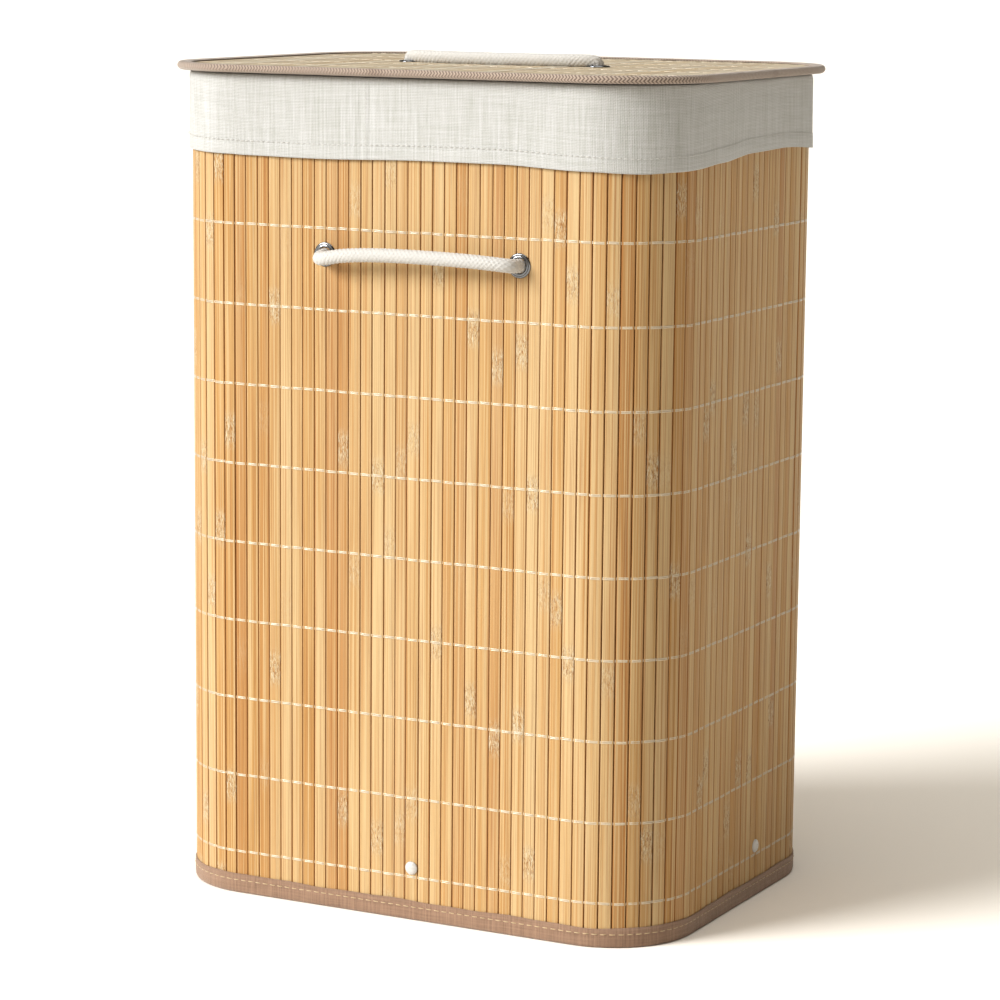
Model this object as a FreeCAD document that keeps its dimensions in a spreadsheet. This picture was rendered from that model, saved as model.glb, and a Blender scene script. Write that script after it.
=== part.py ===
import FreeCAD, Part
import math
import os
import re
import Sketcher

# Folding bamboo laundry hamper with a hinged lid, a removable cloth liner and rope handles.
# Origin: centre of the base, on the floor. +X runs along the long walls, +Z is up, and the
# front wall faces -Y. Every "offset" is measured outwards from the slats' outer face.

SIZES = [
    # the mat that makes the four walls
    ("body_width", 400.0),
    ("body_depth", 300.0),
    ("corner_radius", 63.0),
    ("mat_top", 597.0),
    ("mat_lift", 0.9),
    ("slat_thickness", 2.0),
    ("slat_gap", 0.35),
    ("long_slat_total", 29),
    ("short_slat_total", 18),
    ("corner_slat_total", 10),
    ("layer_clearance", 0.3),
    ("lining_thickness", 0.8),
    # the cotton threads that tie the slats together
    ("thread_rows", 10),
    ("thread_first", 31.7),
    ("thread_top_margin", 46.3),
    ("thread_height", 1.8),
    ("thread_thickness", 0.4),
    ("thread_standoff", 0.25),
    # the woven tapes that bind the mat's edges
    ("tape_thickness", 0.7),
    ("tape_height", 14.5),
    # the steel wire frames and the plastic clips that hold the lower one
    ("wire_diameter", 4.0),
    ("rim_wire_gap", 2.5),
    ("clip_wall", 1.4),
    ("clip_gap", 0.95),
    ("clip_width", 12.0),
    ("clip_drop", 5.0),
    ("fit_clearance", 0.15),
    # the white rivets
    ("rivet_height", 38.2),
    ("long_rivet_shift", 9.8),
    ("short_rivet_shift", 27.4),
    ("rivet_head_radius", 5.0),
    ("rivet_dome", 2.2),
    ("rivet_shank_radius", 1.5),
    ("rivet_tail_radius", 3.0),
    ("rivet_tail_thickness", 1.0),
    # the base board
    ("board_thickness", 3.0),
    ("board_clearance", 2.5),
    # the rope handles and their eyelets
    ("handle_drop", 122.5),
    ("handle_shift", 15.0),
    ("handle_span", 154.0),
    ("rope_radius", 4.75),
    ("flange_clearance", 0.55),
    ("rope_reach", 14.0),
    ("rope_bow", 4.0),
    ("rope_bend_inset", 15.0),
    ("wall_rope_tilt", 20.0),
    ("lid_rope_clearance", 0.75),
    ("knot_radius", 8.5),
    ("rope_clearance", 0.45),
    ("eyelet_barrel_wall", 0.6),
    ("eyelet_flange_width", 2.95),
    ("eyelet_flange_height", 1.2),
    ("eyelet_outer_bevel", 0.8),
    ("eyelet_inner_bevel", 0.9),
    ("washer_thickness", 1.0),
    # the cloth liner, folded over the rim
    ("cloth_thickness", 1.2),
    ("cuff_depth", 56.5),
    ("knot_room", 2.0),
    ("liner_taper_drop", 72.0),
    # the lid
    ("lid_clearance", 0.5),
    ("lid_overhang", 11.0),
    ("lid_edge_play", 0.7),
    ("lid_tape_width", 12.0),
    ("lid_board_thickness", 1.6),
    ("lid_slat_total", 42),
    ("lid_wire_diameter", 3.4),
    ("lid_thread_rows", 5),
    ("lid_thread_pitch", 57.67),
    ("lid_thread_width", 1.4),
    ("lid_thread_thickness", 0.3),
    # the cloth tabs that hinge the lid to the back wall
    ("tab_width", 45.0),
    ("tab_spacing", 200.0),
    ("tab_thickness", 1.0),
    ("tab_below_cuff", 7.0),
    ("tab_foot_length", 20.0),
]

doc = FreeCAD.newDocument("LaundryHamper")
sheet = doc.addObject("Spreadsheet::Sheet", "Sizes")
for row, (name, number) in enumerate(SIZES, start=1):
    sheet.set(f"A{row}", name)
    sheet.set(f"B{row}", str(number))
    sheet.setAlias(f"B{row}", name)
doc.recompute()


def cell(text):
    """An expression on the sheet: each size's name in text gets the sheet's own name."""
    names = "|".join(name for name, _ in SIZES)
    return re.sub(rf"(?<![\w.])({names})(?!\w)", r"Sizes.\1", text)


def value(text):
    """The number that an expression on the sheet gives now."""
    return float(sheet.evalExpression(cell(text)))


# Levels and offsets that several pieces share
THREAD_PITCH = "((mat_top - thread_first - thread_top_margin) / (thread_rows - 1))"
LINING_OUT = "-(slat_thickness + layer_clearance)"
LINING_IN = "-(slat_thickness + layer_clearance + lining_thickness)"
WALL_DEPTH = "(slat_thickness + layer_clearance + lining_thickness)"
RIM_WIRE_OFFSET = f"-({WALL_DEPTH} + layer_clearance + wire_diameter / 2)"
RIM_TAPE_IN = f"-({WALL_DEPTH} + 2 * layer_clearance + wire_diameter + tape_thickness)"
RIM_TAPE_TOP = "(mat_top + layer_clearance + tape_thickness)"
TAPE_OUT = "(thread_standoff + tape_thickness)"
LINER_TOP = f"({RIM_TAPE_TOP} + layer_clearance + cloth_thickness)"
CUFF_IN = f"({TAPE_OUT} + layer_clearance)"
CUFF_OUT = f"({TAPE_OUT} + layer_clearance + cloth_thickness)"
CUFF_LOW = f"({LINER_TOP} - cuff_depth)"
TAPER_LOW = "(mat_top - liner_taper_drop)"
TAPER_HIGH = f"({RIM_TAPE_TOP} - tape_height - layer_clearance)"
COLLAR_OUT = f"({RIM_TAPE_IN} - layer_clearance)"
COLLAR_IN = f"({RIM_TAPE_IN} - layer_clearance - cloth_thickness)"
BARREL_END = f"({WALL_DEPTH} + layer_clearance + washer_thickness + fit_clearance)"
BAG_OUT = f"-({BARREL_END} + 2 * knot_radius + knot_room)"
BAG_IN = f"({BAG_OUT} - cloth_thickness)"
BASE_WIRE_OFFSET = f"-({WALL_DEPTH} + 2 * fit_clearance + clip_wall + wire_diameter / 2)"
WIRE_ABOVE_RIVET = (
    "(rivet_tail_radius + clip_gap + clip_wall + fit_clearance + wire_diameter / 2)"
)
BASE_WIRE_HEIGHT = f"(rivet_height + {WIRE_ABOVE_RIVET})"
RIM_WIRE_HEIGHT = "(mat_top - rim_wire_gap - wire_diameter / 2)"
HANDLE_HEIGHT = "(mat_top - handle_drop)"
EYELET_BORE = "(rope_radius + rope_clearance)"
EYELET_FLANGE = f"({EYELET_BORE} + eyelet_barrel_wall + eyelet_flange_width)"
ROPE_STANDOFF = "(eyelet_flange_height + flange_clearance + rope_radius)"
CLIP_TOP = f"({BASE_WIRE_HEIGHT} + wire_diameter / 2 + fit_clearance + clip_wall)"
BOARD_TOP = f"({CLIP_TOP} + fit_clearance + board_thickness)"
HOLE_RADIUS = f"({EYELET_BORE} + eyelet_barrel_wall + fit_clearance)"
RIVET_HOLE = "(rivet_shank_radius + fit_clearance)"
LID_BOTTOM = f"({LINER_TOP} + lid_clearance)"
LID_WALL_DEPTH = "(slat_thickness + 2 * fit_clearance + lid_board_thickness)"
LID_EDGE_HEIGHT = f"({LID_WALL_DEPTH} + 2 * tape_thickness + lid_edge_play)"
LID_BOARD_BOTTOM = f"({LID_BOTTOM} + tape_thickness + fit_clearance)"
LID_SLAT_BOTTOM = f"({LID_BOARD_BOTTOM} + lid_board_thickness + fit_clearance)"
LID_SLAT_TOP = f"({LID_SLAT_BOTTOM} + slat_thickness)"
LID_WIRE_OFFSET = "(lid_overhang - tape_thickness - fit_clearance - lid_wire_diameter / 2)"
LID_PANEL_OFFSET = f"({LID_WIRE_OFFSET} - lid_wire_diameter / 2 - fit_clearance)"
LONG_PITCH = "((body_width - 2 * corner_radius) / long_slat_total)"
SHORT_PITCH = "((body_depth - 2 * corner_radius) / short_slat_total)"

parts = []
V = FreeCAD.Vector
UP = V(0, 0, 1)


def keep(piece, label):
    """Names a finished sub-part and lists it for export."""
    piece.Label = label
    parts.append(piece)
    return piece


def new_body():
    return doc.addObject("PartDesign::Body", "Body")


def new_sketch(body, role, height=None):
    """A sketch on one of the body's own origin planes, raised by an expression if asked."""
    plane = next(f for f in body.Origin.OriginFeatures if f.Role == role)
    sketch = body.newObject("Sketcher::SketchObject", "Sketch")
    sketch.AttachmentSupport = [(plane, "")]
    sketch.MapMode = "FlatFace"
    if height:
        sketch.setExpression("AttachmentOffset.Base.z", cell(height))
    return sketch


def bind(sketch, constraint, expression):
    index = sketch.addConstraint(constraint)
    sketch.setExpression(f"Constraints[{index}]", cell(expression))


def add_polygon(sketch, points):
    """A closed outline; each point is a pair of expressions."""
    first = len(sketch.Geometry)
    spots = [(value(x), value(y)) for x, y in points]
    total = len(points)
    for i in range(total):
        start, end = V(*spots[i], 0), V(*spots[(i + 1) % total], 0)
        sketch.addGeometry(Part.LineSegment(start, end), False)
    for i in range(total):
        after = first + (i + 1) % total
        sketch.addConstraint(Sketcher.Constraint("Coincident", first + i, 2, after, 1))
    for i, (x, y) in enumerate(points):
        line = first + i
        bind(sketch, Sketcher.Constraint("DistanceX", -1, 1, line, 1, spots[i][0]), x)
        bind(sketch, Sketcher.Constraint("DistanceY", -1, 1, line, 1, spots[i][1]), y)


def add_circle(sketch, x, y, radius):
    spot = V(value(x), value(y), 0)
    index = sketch.addGeometry(Part.Circle(spot, UP, value(radius)), False)
    bind(sketch, Sketcher.Constraint("DistanceX", -1, 1, index, 3, spot.x), x)
    bind(sketch, Sketcher.Constraint("DistanceY", -1, 1, index, 3, spot.y), y)
    bind(sketch, Sketcher.Constraint("Radius", index, value(radius)), radius)


def add_outline(sketch, offset):
    """The hamper's plan outline, grown by offset: a rectangle with round corners."""
    wide, deep = "(body_width / 2 - corner_radius)", "(body_depth / 2 - corner_radius)"
    reach = f"(corner_radius + {offset})"
    a, b, r = value(wide), value(deep), value(reach)
    first = len(sketch.Geometry)
    sides = [
        (V(-a, -b - r, 0), V(a, -b - r, 0)),
        (V(a + r, -b, 0), V(a + r, b, 0)),
        (V(a, b + r, 0), V(-a, b + r, 0)),
        (V(-a - r, b, 0), V(-a - r, -b, 0)),
    ]
    for start, end in sides:
        sketch.addGeometry(Part.LineSegment(start, end), False)
    quarter = math.pi / 2
    for i, (x, y) in enumerate(((a, -b), (a, b), (-a, b), (-a, -b))):
        circle = Part.Circle(V(x, y, 0), UP, r)
        arc = Part.ArcOfCircle(circle, (i - 1) * quarter, i * quarter)
        sketch.addGeometry(arc, False)
    for i in range(4):
        line, arc, after = first + i, first + 4 + i, first + (i + 1) % 4
        sketch.addConstraint(Sketcher.Constraint("Tangent", line, 2, arc, 1))
        sketch.addConstraint(Sketcher.Constraint("Tangent", arc, 2, after, 1))
        direction = "Horizontal" if i % 2 == 0 else "Vertical"
        sketch.addConstraint(Sketcher.Constraint(direction, line))
    for i in range(1, 4):
        sketch.addConstraint(Sketcher.Constraint("Equal", first + 4, first + 4 + i))
    near, far = first + 4, first + 6
    sketch.addConstraint(Sketcher.Constraint("Symmetric", near, 3, far, 3, -1, 1))
    bind(sketch, Sketcher.Constraint("Radius", near, r), reach)
    bind(sketch, Sketcher.Constraint("DistanceX", -1, 1, near, 3, a), wide)
    bind(sketch, Sketcher.Constraint("DistanceY", near, 3, -1, 1, b), deep)


def pad(body, sketch, length, midplane=False):
    feature = body.newObject("PartDesign::Pad", "Pad")
    feature.Profile = sketch
    feature.setExpression("Length", cell(length))
    feature.Midplane = midplane
    body.Tip = feature
    return feature


def pocket(body, sketch, length=None, reverse=False):
    """Cuts the sketch away, through everything on one side unless a length is given."""
    doc.recompute()
    before = body.Shape.Volume
    feature = body.newObject("PartDesign::Pocket", "Pocket")
    feature.Profile = sketch
    feature.Reversed = reverse
    if length:
        feature.setExpression("Length", cell(length))
    else:
        feature.Type = "ThroughAll"
    body.Tip = feature
    doc.recompute()
    if body.Shape.Volume >= before:
        raise RuntimeError(f"a pocket in {body.Label} cuts nothing")
    return feature


def revolve(body, sketch):
    feature = body.newObject("PartDesign::Revolution", "Revolution")
    feature.Profile = sketch
    feature.ReferenceAxis = (sketch, ["V_Axis"])
    feature.Angle = 360
    body.Tip = feature
    return feature


def repeat_along(body, feature, role, spacing, total):
    """Copies feature along one of the body's own axes."""
    axis = next(f for f in body.Origin.OriginFeatures if f.Role == role)
    pattern = body.newObject("PartDesign::LinearPattern", "LinearPattern")
    pattern.Originals = [feature]
    pattern.Direction = (axis, [""])
    pattern.Mode = "Spacing"
    pattern.setExpression("Offset", cell(spacing))
    pattern.setExpression("Occurrences", cell(total))
    body.Tip = pattern
    return pattern


def place(piece, x="0", y="0", z="0", rotation=None):
    if rotation:
        piece.Placement = FreeCAD.Placement(V(0, 0, 0), rotation)
    for axis, expression in zip("xyz", (x, y, z)):
        piece.setExpression(f"Placement.Base.{axis}", cell(expression))


# The four walls: turn about Z, and the middle of the wall's outer face
WALLS = {
    "front": (0, "0", "-body_depth / 2"),
    "right": (90, "body_width / 2", "0"),
    "back": (180, "0", "body_depth / 2"),
    "left": (270, "-body_width / 2", "0"),
}
# Where each wall's fittings sit along it, from the middle of the wall
WALL_SHIFT = {"front": "{}", "right": "{}", "back": "-{}", "left": "-{}"}


def place_on_wall(piece, wall, shift, height):
    """Puts a piece on a wall: its own Z points out of the wall, its own Y points up."""
    turn, x, y = WALLS[wall]
    along = WALL_SHIFT[wall].format(shift)
    stand = FreeCAD.Rotation(V(1, 0, 0), 90)
    rotation = FreeCAD.Rotation(UP, turn).multiply(stand)
    if wall in ("front", "back"):
        x = f"{x} + {along}"
    else:
        y = f"{y} + {along}"
    place(piece, x, y, height, rotation)


def ring(body, inner, outer, bottom, height):
    """A band that follows the hamper's outline between two offsets."""
    sketch = new_sketch(body, "XY_Plane", bottom)
    add_outline(sketch, outer)
    add_outline(sketch, inner)
    return pad(body, sketch, height)


# ---------------------------------------------------------------- bamboo slats


def slat_wall(wall):
    """The flat row of slats on one wall; the long walls have the eyelets' holes."""
    long_wall = wall in ("front", "back")
    pitch = LONG_PITCH if long_wall else SHORT_PITCH
    total = "long_slat_total" if long_wall else "short_slat_total"
    body = new_body()
    sketch = new_sketch(body, "XY_Plane", "mat_lift")
    left = f"-{pitch} * {total} / 2 + slat_gap / 2"
    right = f"-{pitch} * {total} / 2 + {pitch} - slat_gap / 2"
    add_polygon(
        sketch,
        [(left, "0"), (right, "0"), (right, "slat_thickness"), (left, "slat_thickness")],
    )
    slat = pad(body, sketch, "mat_top - mat_lift")
    repeat_along(body, slat, "X_Axis", pitch, total)
    shift = "long_rivet_shift" if long_wall else "short_rivet_shift"
    # in the wall's own frame its fittings always lie towards its own +X
    holes = new_sketch(body, "XZ_Plane")
    add_circle(holes, shift, "rivet_height", RIVET_HOLE)
    if long_wall:
        for side in ("-", ""):
            x = f"handle_shift + {side}handle_span / 2"
            add_circle(holes, x, HANDLE_HEIGHT, HOLE_RADIUS)
    pocket(body, holes)
    turn, x, y = WALLS[wall]
    place(body, x, y, "0", FreeCAD.Rotation(UP, turn))
    return keep(body, f"{wall}_slats")


def slat_corner(label, turn, x, y):
    """One round corner: flat slats set side by side round the corner's axis."""
    body = new_body()
    sketch = new_sketch(body, "XY_Plane", "mat_lift")
    half = "((corner_radius - slat_thickness) * tan(45 / corner_slat_total) - slat_gap / 2)"
    inner, outer = "corner_radius - slat_thickness", "corner_radius"
    add_polygon(
        sketch,
        [(inner, f"-{half}"), (outer, f"-{half}"), (outer, half), (inner, half)],
    )
    slat = pad(body, sketch, "mat_top - mat_lift")
    axis = next(f for f in body.Origin.OriginFeatures if f.Role == "Z_Axis")
    pattern = body.newObject("PartDesign::PolarPattern", "PolarPattern")
    pattern.Originals = [slat]
    pattern.Axis = (axis, [""])
    pattern.Mode = "Spacing"
    pattern.setExpression("Offset", cell("90 / corner_slat_total"))
    pattern.setExpression("Occurrences", cell("corner_slat_total"))
    body.Tip = pattern
    # the rotation's axis is set here, and its angle by the expression
    place(body, x, y, "0", FreeCAD.Rotation(UP, turn + 1))
    body.setExpression("Placement.Rotation.Angle", cell(f"{turn} + 45 / corner_slat_total"))
    return keep(body, f"{label}_corner_slats")


def weft_threads():
    """Rows of cotton thread round the mat, laid over the slats."""
    body = new_body()
    inner = "thread_standoff"
    outer = "thread_standoff + thread_thickness"
    row = ring(body, inner, outer, "thread_first - thread_height / 2", "thread_height")
    repeat_along(body, row, "Z_Axis", THREAD_PITCH, "thread_rows")
    return keep(body, "weft_threads")


def wall_lining():
    """The non-woven cloth glued inside the slats, with the same holes as they have."""
    body = new_body()
    ring(body, LINING_IN, LINING_OUT, "mat_lift", "mat_top - mat_lift")
    # front and left first, then back and right, whose fittings are the same after half a turn
    for reverse, long_sign, short_sign in ((True, "", "-"), (False, "-", "")):
        long_holes = new_sketch(body, "XZ_Plane")
        add_circle(long_holes, f"{long_sign}long_rivet_shift", "rivet_height", RIVET_HOLE)
        for half in ("-", ""):
            x = f"{long_sign}handle_shift + {half}handle_span / 2"
            add_circle(long_holes, x, HANDLE_HEIGHT, HOLE_RADIUS)
        pocket(body, long_holes, reverse=reverse)
        short_holes = new_sketch(body, "YZ_Plane")
        add_circle(short_holes, f"{short_sign}short_rivet_shift", "rivet_height", RIVET_HOLE)
        pocket(body, short_holes, reverse=not reverse)
    return keep(body, "wall_lining")


# ---------------------------------------------------------------- edge tapes and frames


def bottom_binding():
    """Woven tape folded round the mat's lower edge; the hamper stands on it."""
    body = new_body()
    inner = f"{LINING_IN} - layer_clearance - tape_thickness"
    ring(body, inner, TAPE_OUT, "0", "tape_height")
    slot = new_sketch(body, "XY_Plane", "tape_thickness")
    add_outline(slot, "thread_standoff")
    add_outline(slot, f"{LINING_IN} - layer_clearance")
    pocket(body, slot, "tape_height", reverse=True)
    return keep(body, "bottom_binding")


def top_binding():
    """Woven tape folded over the mat's upper edge and the rim wire."""
    body = new_body()
    bottom = f"{RIM_TAPE_TOP} - tape_height"
    ring(body, RIM_TAPE_IN, TAPE_OUT, bottom, "tape_height")
    slot = new_sketch(body, "XY_Plane", bottom)
    add_outline(slot, "thread_standoff")
    add_outline(slot, f"{RIM_TAPE_IN} + tape_thickness")
    pocket(body, slot, "tape_height - tape_thickness", reverse=True)
    return keep(body, "top_binding")


def wire_frame(label, offset, height, diameter):
    """A closed steel wire that follows the outline: straight rods and quarter-round bends."""
    pieces = []
    wide, deep = "(body_width / 2 - corner_radius)", "(body_depth / 2 - corner_radius)"
    bend = f"(corner_radius + {offset})"
    rods = [
        (f"-{wide}", f"-{deep} - {bend}", wide, V(0, 1, 0)),
        (f"-{wide}", f"{deep} + {bend}", wide, V(0, 1, 0)),
        (f"-{wide} - {bend}", f"-{deep}", deep, V(-1, 0, 0)),
        (f"{wide} + {bend}", f"-{deep}", deep, V(-1, 0, 0)),
    ]
    for x, y, half, axis in rods:
        rod = doc.addObject("Part::Cylinder", "Rod")
        rod.setExpression("Radius", cell(f"{diameter} / 2"))
        rod.setExpression("Height", cell(f"2 * {half}"))
        place(rod, x, y, height, FreeCAD.Rotation(axis, 90))
        pieces.append(rod)
    corners = [(wide, deep, 0), (f"-{wide}", deep, 90)]
    corners += [(f"-{wide}", f"-{deep}", 180), (wide, f"-{deep}", 270)]
    for x, y, turn in corners:
        corner = doc.addObject("Part::Torus", "Bend")
        corner.setExpression("Radius1", cell(bend))
        corner.setExpression("Radius2", cell(f"{diameter} / 2"))
        corner.Angle3 = 90
        place(corner, x, y, height, FreeCAD.Rotation(UP, turn))
        pieces.append(corner)
    frame = doc.addObject("Part::MultiFuse", "WireFrame")
    frame.Shapes = pieces
    return keep(frame, label)


def wire_clip(wall, shift):
    """A plastic saddle clip: a plate riveted to the wall, and a loop round the base wire."""
    body = new_body()
    plate_out = f"-({WALL_DEPTH} + fit_clearance)"
    plate_in = f"({plate_out} - clip_wall)"
    wire_out = f"({BASE_WIRE_OFFSET} - wire_diameter / 2 - fit_clearance - clip_wall)"
    top = f"({CLIP_TOP} - rivet_height)"
    loop_low = "(rivet_tail_radius + clip_gap)"
    sketch = new_sketch(body, "YZ_Plane")
    add_polygon(
        sketch,
        [
            ("-clip_drop", plate_out),
            ("-clip_drop", plate_in),
            (loop_low, plate_in),
            (loop_low, wire_out),
            (top, wire_out),
            (top, plate_out),
        ],
    )
    add_circle(
        sketch, WIRE_ABOVE_RIVET, BASE_WIRE_OFFSET, "wire_diameter / 2 + fit_clearance"
    )
    pad(body, sketch, "clip_width", midplane=True)
    hole = new_sketch(body, "XY_Plane")
    add_circle(hole, "0", "0", RIVET_HOLE)
    pocket(body, hole)
    place_on_wall(body, wall, shift, "rivet_height")
    return keep(body, f"{wall}_wire_clip")


def rivet(wall, shift):
    """A white domed rivet through the wall and the clip's plate."""
    body = new_body()
    seat = "thread_standoff / 2"
    grip = f"-({WALL_DEPTH} + 2 * fit_clearance + clip_wall)"
    sketch = new_sketch(body, "XZ_Plane")
    add_polygon(
        sketch,
        [
            ("0", "rivet_dome"),
            ("rivet_head_radius * 0.5", "rivet_dome * 0.87"),
            ("rivet_head_radius * 0.85", "rivet_dome * 0.5"),
            ("rivet_head_radius", seat),
            ("rivet_shank_radius", seat),
            ("rivet_shank_radius", grip),
            ("rivet_tail_radius", grip),
            ("rivet_tail_radius", f"{grip} - rivet_tail_thickness"),
            ("0", f"{grip} - rivet_tail_thickness"),
        ],
    )
    revolve(body, sketch)
    place_on_wall(body, wall, shift, "rivet_height")
    return keep(body, f"{wall}_rivet")


def base_board():
    """The stiff cloth-covered board that lies on the four clips and the base wire."""
    body = new_body()
    sketch = new_sketch(body, "XY_Plane", f"{CLIP_TOP} + fit_clearance")
    add_outline(sketch, f"({LINING_IN} - board_clearance)")
    pad(body, sketch, "board_thickness")
    return keep(body, "base_board")


# ---------------------------------------------------------------- handles


def place_handle(piece, where):
    """Puts a handle's piece, built round its left eyelet, on a long wall or on the lid."""
    if where == "lid":
        place(piece, "-handle_span / 2", "0", LID_SLAT_TOP)
    else:
        # the left eyelet lies half a span before the handle's middle
        place_on_wall(piece, where, "(handle_shift - handle_span / 2)", HANDLE_HEIGHT)


def eyelets(where):
    """Two chromed eyelets; each has a round flange outside and a barrel through the wall."""
    body = new_body()
    barrel = f"({EYELET_BORE} + eyelet_barrel_wall)"
    seat = "thread_standoff / 2"
    depth = LID_WALL_DEPTH if where == "lid" else WALL_DEPTH
    end = f"-({depth} + layer_clearance + washer_thickness)"
    sketch = new_sketch(body, "XZ_Plane")
    add_polygon(
        sketch,
        [
            (EYELET_BORE, end),
            (barrel, end),
            (barrel, seat),
            (EYELET_FLANGE, seat),
            (EYELET_FLANGE, "eyelet_flange_height * 0.5"),
            (f"{EYELET_FLANGE} - eyelet_outer_bevel", "eyelet_flange_height"),
            (f"{EYELET_BORE} + eyelet_inner_bevel", "eyelet_flange_height"),
            (EYELET_BORE, "eyelet_flange_height * 0.4"),
        ],
    )
    one = revolve(body, sketch)
    repeat_along(body, one, "X_Axis", "handle_span", "2")
    place_handle(body, where)
    return keep(body, f"{where}_eyelets")


def washers(where):
    """Flat rings pressed on the barrels' inner ends."""
    body = new_body()
    depth = LID_WALL_DEPTH if where == "lid" else WALL_DEPTH
    top = f"-({depth} + layer_clearance / 2)"
    bottom = f"{top} - washer_thickness"
    hole, rim = HOLE_RADIUS, EYELET_FLANGE
    sketch = new_sketch(body, "XZ_Plane")
    add_polygon(sketch, [(hole, top), (rim, top), (rim, bottom), (hole, bottom)])
    one = revolve(body, sketch)
    repeat_along(body, one, "X_Axis", "handle_span", "2")
    place_handle(body, where)
    return keep(body, f"{where}_washers")


def rope_knots(where):
    """The rope's two ends: a short length in each eyelet, and the stopper knot behind it."""
    body = new_body()
    depth = LID_WALL_DEPTH if where == "lid" else WALL_DEPTH
    end = f"({depth} + layer_clearance + washer_thickness + fit_clearance)"
    stub = "(rope_radius - fit_clearance)"
    top = f"({ROPE_STANDOFF} - rope_radius - layer_clearance)"
    middle = f"-({end} + knot_radius)"
    sketch = new_sketch(body, "XZ_Plane")
    points = [("0", top), (stub, top), (stub, f"-{end}")]
    for turn in (60, 30, 0, -30, -60):
        points.append((f"knot_radius * cos({turn})", f"{middle} + knot_radius * sin({turn})"))
    points.append(("0", f"{middle} - knot_radius"))
    add_polygon(sketch, points)
    one = revolve(body, sketch)
    repeat_along(body, one, "X_Axis", "handle_span", "2")
    place_handle(body, where)
    return keep(body, f"{where}_rope_knots")


def rounded_path(points, share=0.45):
    """Straight runs joined by tangent arcs, each as large as its two runs allow."""
    edges, last = [], points[0]
    for before, corner, after in zip(points, points[1:], points[2:]):
        back, ahead = before - corner, after - corner
        turn = math.pi - back.getAngle(ahead)
        trim = share * min(back.Length, ahead.Length)
        print(f"rope bend radius {trim / math.tan(turn / 2):.1f} mm")
        start = corner + back.normalize() * trim
        finish = corner + ahead.normalize() * trim
        inward = back + ahead
        radius = trim / math.tan(turn / 2)
        centre = corner + inward.normalize() * (radius / math.cos(turn / 2))
        middle = centre + (corner - centre).normalize() * radius
        edges.append(Part.LineSegment(last, start).toShape())
        edges.append(Part.Arc(start, middle, finish).toShape())
        last = finish
    edges.append(Part.LineSegment(last, points[-1]).toShape())
    return Part.Wire(edges)


def handle_rope(where):
    """The rope between its two eyelets: out of the wall, then along it in a slight bow."""
    span, reach = value("handle_span"), value("rope_reach")
    bow, inset = value("rope_bow"), value("rope_bend_inset")
    radius = value("rope_radius")
    half = span / 2
    # after the bend the rope keeps bowing out, less and less, towards the middle
    points = [
        V(0, 0, 0),
        V(0, 0, reach),
        V(inset, 0, reach + 0.45 * bow),
        V(inset + (half - inset) * 0.45, 0, reach + 0.85 * bow),
        V(half, 0, reach + bow),
    ]
    points += [V(span - p.x, 0, p.z) for p in reversed(points[:-1])]
    path = rounded_path(points)
    profile = Part.Wire(Part.Circle(points[0], UP, radius).toShape())
    tube = path.makePipeShell([profile], True, False)
    ends = [Part.makeSphere(radius, p) for p in (points[0], points[-1])]
    rope = tube.fuse(ends).removeSplitter()
    piece = doc.addObject("Part::Feature", "Rope")
    piece.Shape = rope
    # the rope turns about the line through its two ends
    if where == "lid":
        rest = value("rope_radius + lid_rope_clearance")
        drop = (value(ROPE_STANDOFF) - rest) / (reach + bow)
        tilt = 90 + math.degrees(math.asin(drop))
        base = V(-half, 0, value(f"{LID_SLAT_TOP} + {ROPE_STANDOFF}"))
        piece.Placement = FreeCAD.Placement(base, FreeCAD.Rotation(V(1, 0, 0), tilt))
    else:
        turn = WALLS[where][0]
        side = -1 if where == "front" else 1
        lean = FreeCAD.Rotation(V(1, 0, 0), 90 - value("wall_rope_tilt"))
        rotation = FreeCAD.Rotation(UP, turn).multiply(lean)
        x = side * (half - value("handle_shift"))
        y = side * value(f"body_depth / 2 + {ROPE_STANDOFF}")
        base = V(x, y, value(HANDLE_HEIGHT))
        piece.Placement = FreeCAD.Placement(base, rotation)
    return keep(piece, f"{where}_handle_rope")


# ---------------------------------------------------------------- liner


def liner_bag():
    """The linen bag: drawn in to clear the knots, flared to the rim, folded over as a cuff."""
    body = new_body()
    floor = f"({BOARD_TOP} + layer_clearance)"
    lower = new_sketch(body, "XY_Plane", floor)
    add_outline(lower, BAG_OUT)
    pad(body, lower, f"{TAPER_LOW} - {floor}")
    loft_solid(body, "PartDesign::AdditiveLoft", BAG_OUT, COLLAR_OUT)
    collar = new_sketch(body, "XY_Plane", TAPER_HIGH)
    add_outline(collar, COLLAR_OUT)
    pad(body, collar, f"{LINER_TOP} - {TAPER_HIGH}")
    inside = new_sketch(body, "XY_Plane", f"{floor} + cloth_thickness")
    add_outline(inside, BAG_IN)
    pocket(body, inside, reverse=True)
    loft_solid(body, "PartDesign::SubtractiveLoft", BAG_IN, COLLAR_IN)
    mouth = new_sketch(body, "XY_Plane", TAPER_HIGH)
    add_outline(mouth, COLLAR_IN)
    pocket(body, mouth, reverse=True)
    ring(body, CUFF_IN, CUFF_OUT, CUFF_LOW, "cuff_depth")
    ring(body, COLLAR_IN, CUFF_OUT, f"{LINER_TOP} - cloth_thickness", "cloth_thickness")
    return keep(body, "liner_bag")


def loft_solid(body, kind, low_offset, high_offset):
    """Adds or cuts the liner's tapered part, between two outlines."""
    low = new_sketch(body, "XY_Plane", TAPER_LOW)
    add_outline(low, low_offset)
    high = new_sketch(body, "XY_Plane", TAPER_HIGH)
    add_outline(high, high_offset)
    feature = body.newObject(kind, "Loft")
    feature.Profile = low
    feature.Sections = [high]
    feature.Ruled = True
    body.Tip = feature
    return feature


# ---------------------------------------------------------------- lid


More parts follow.
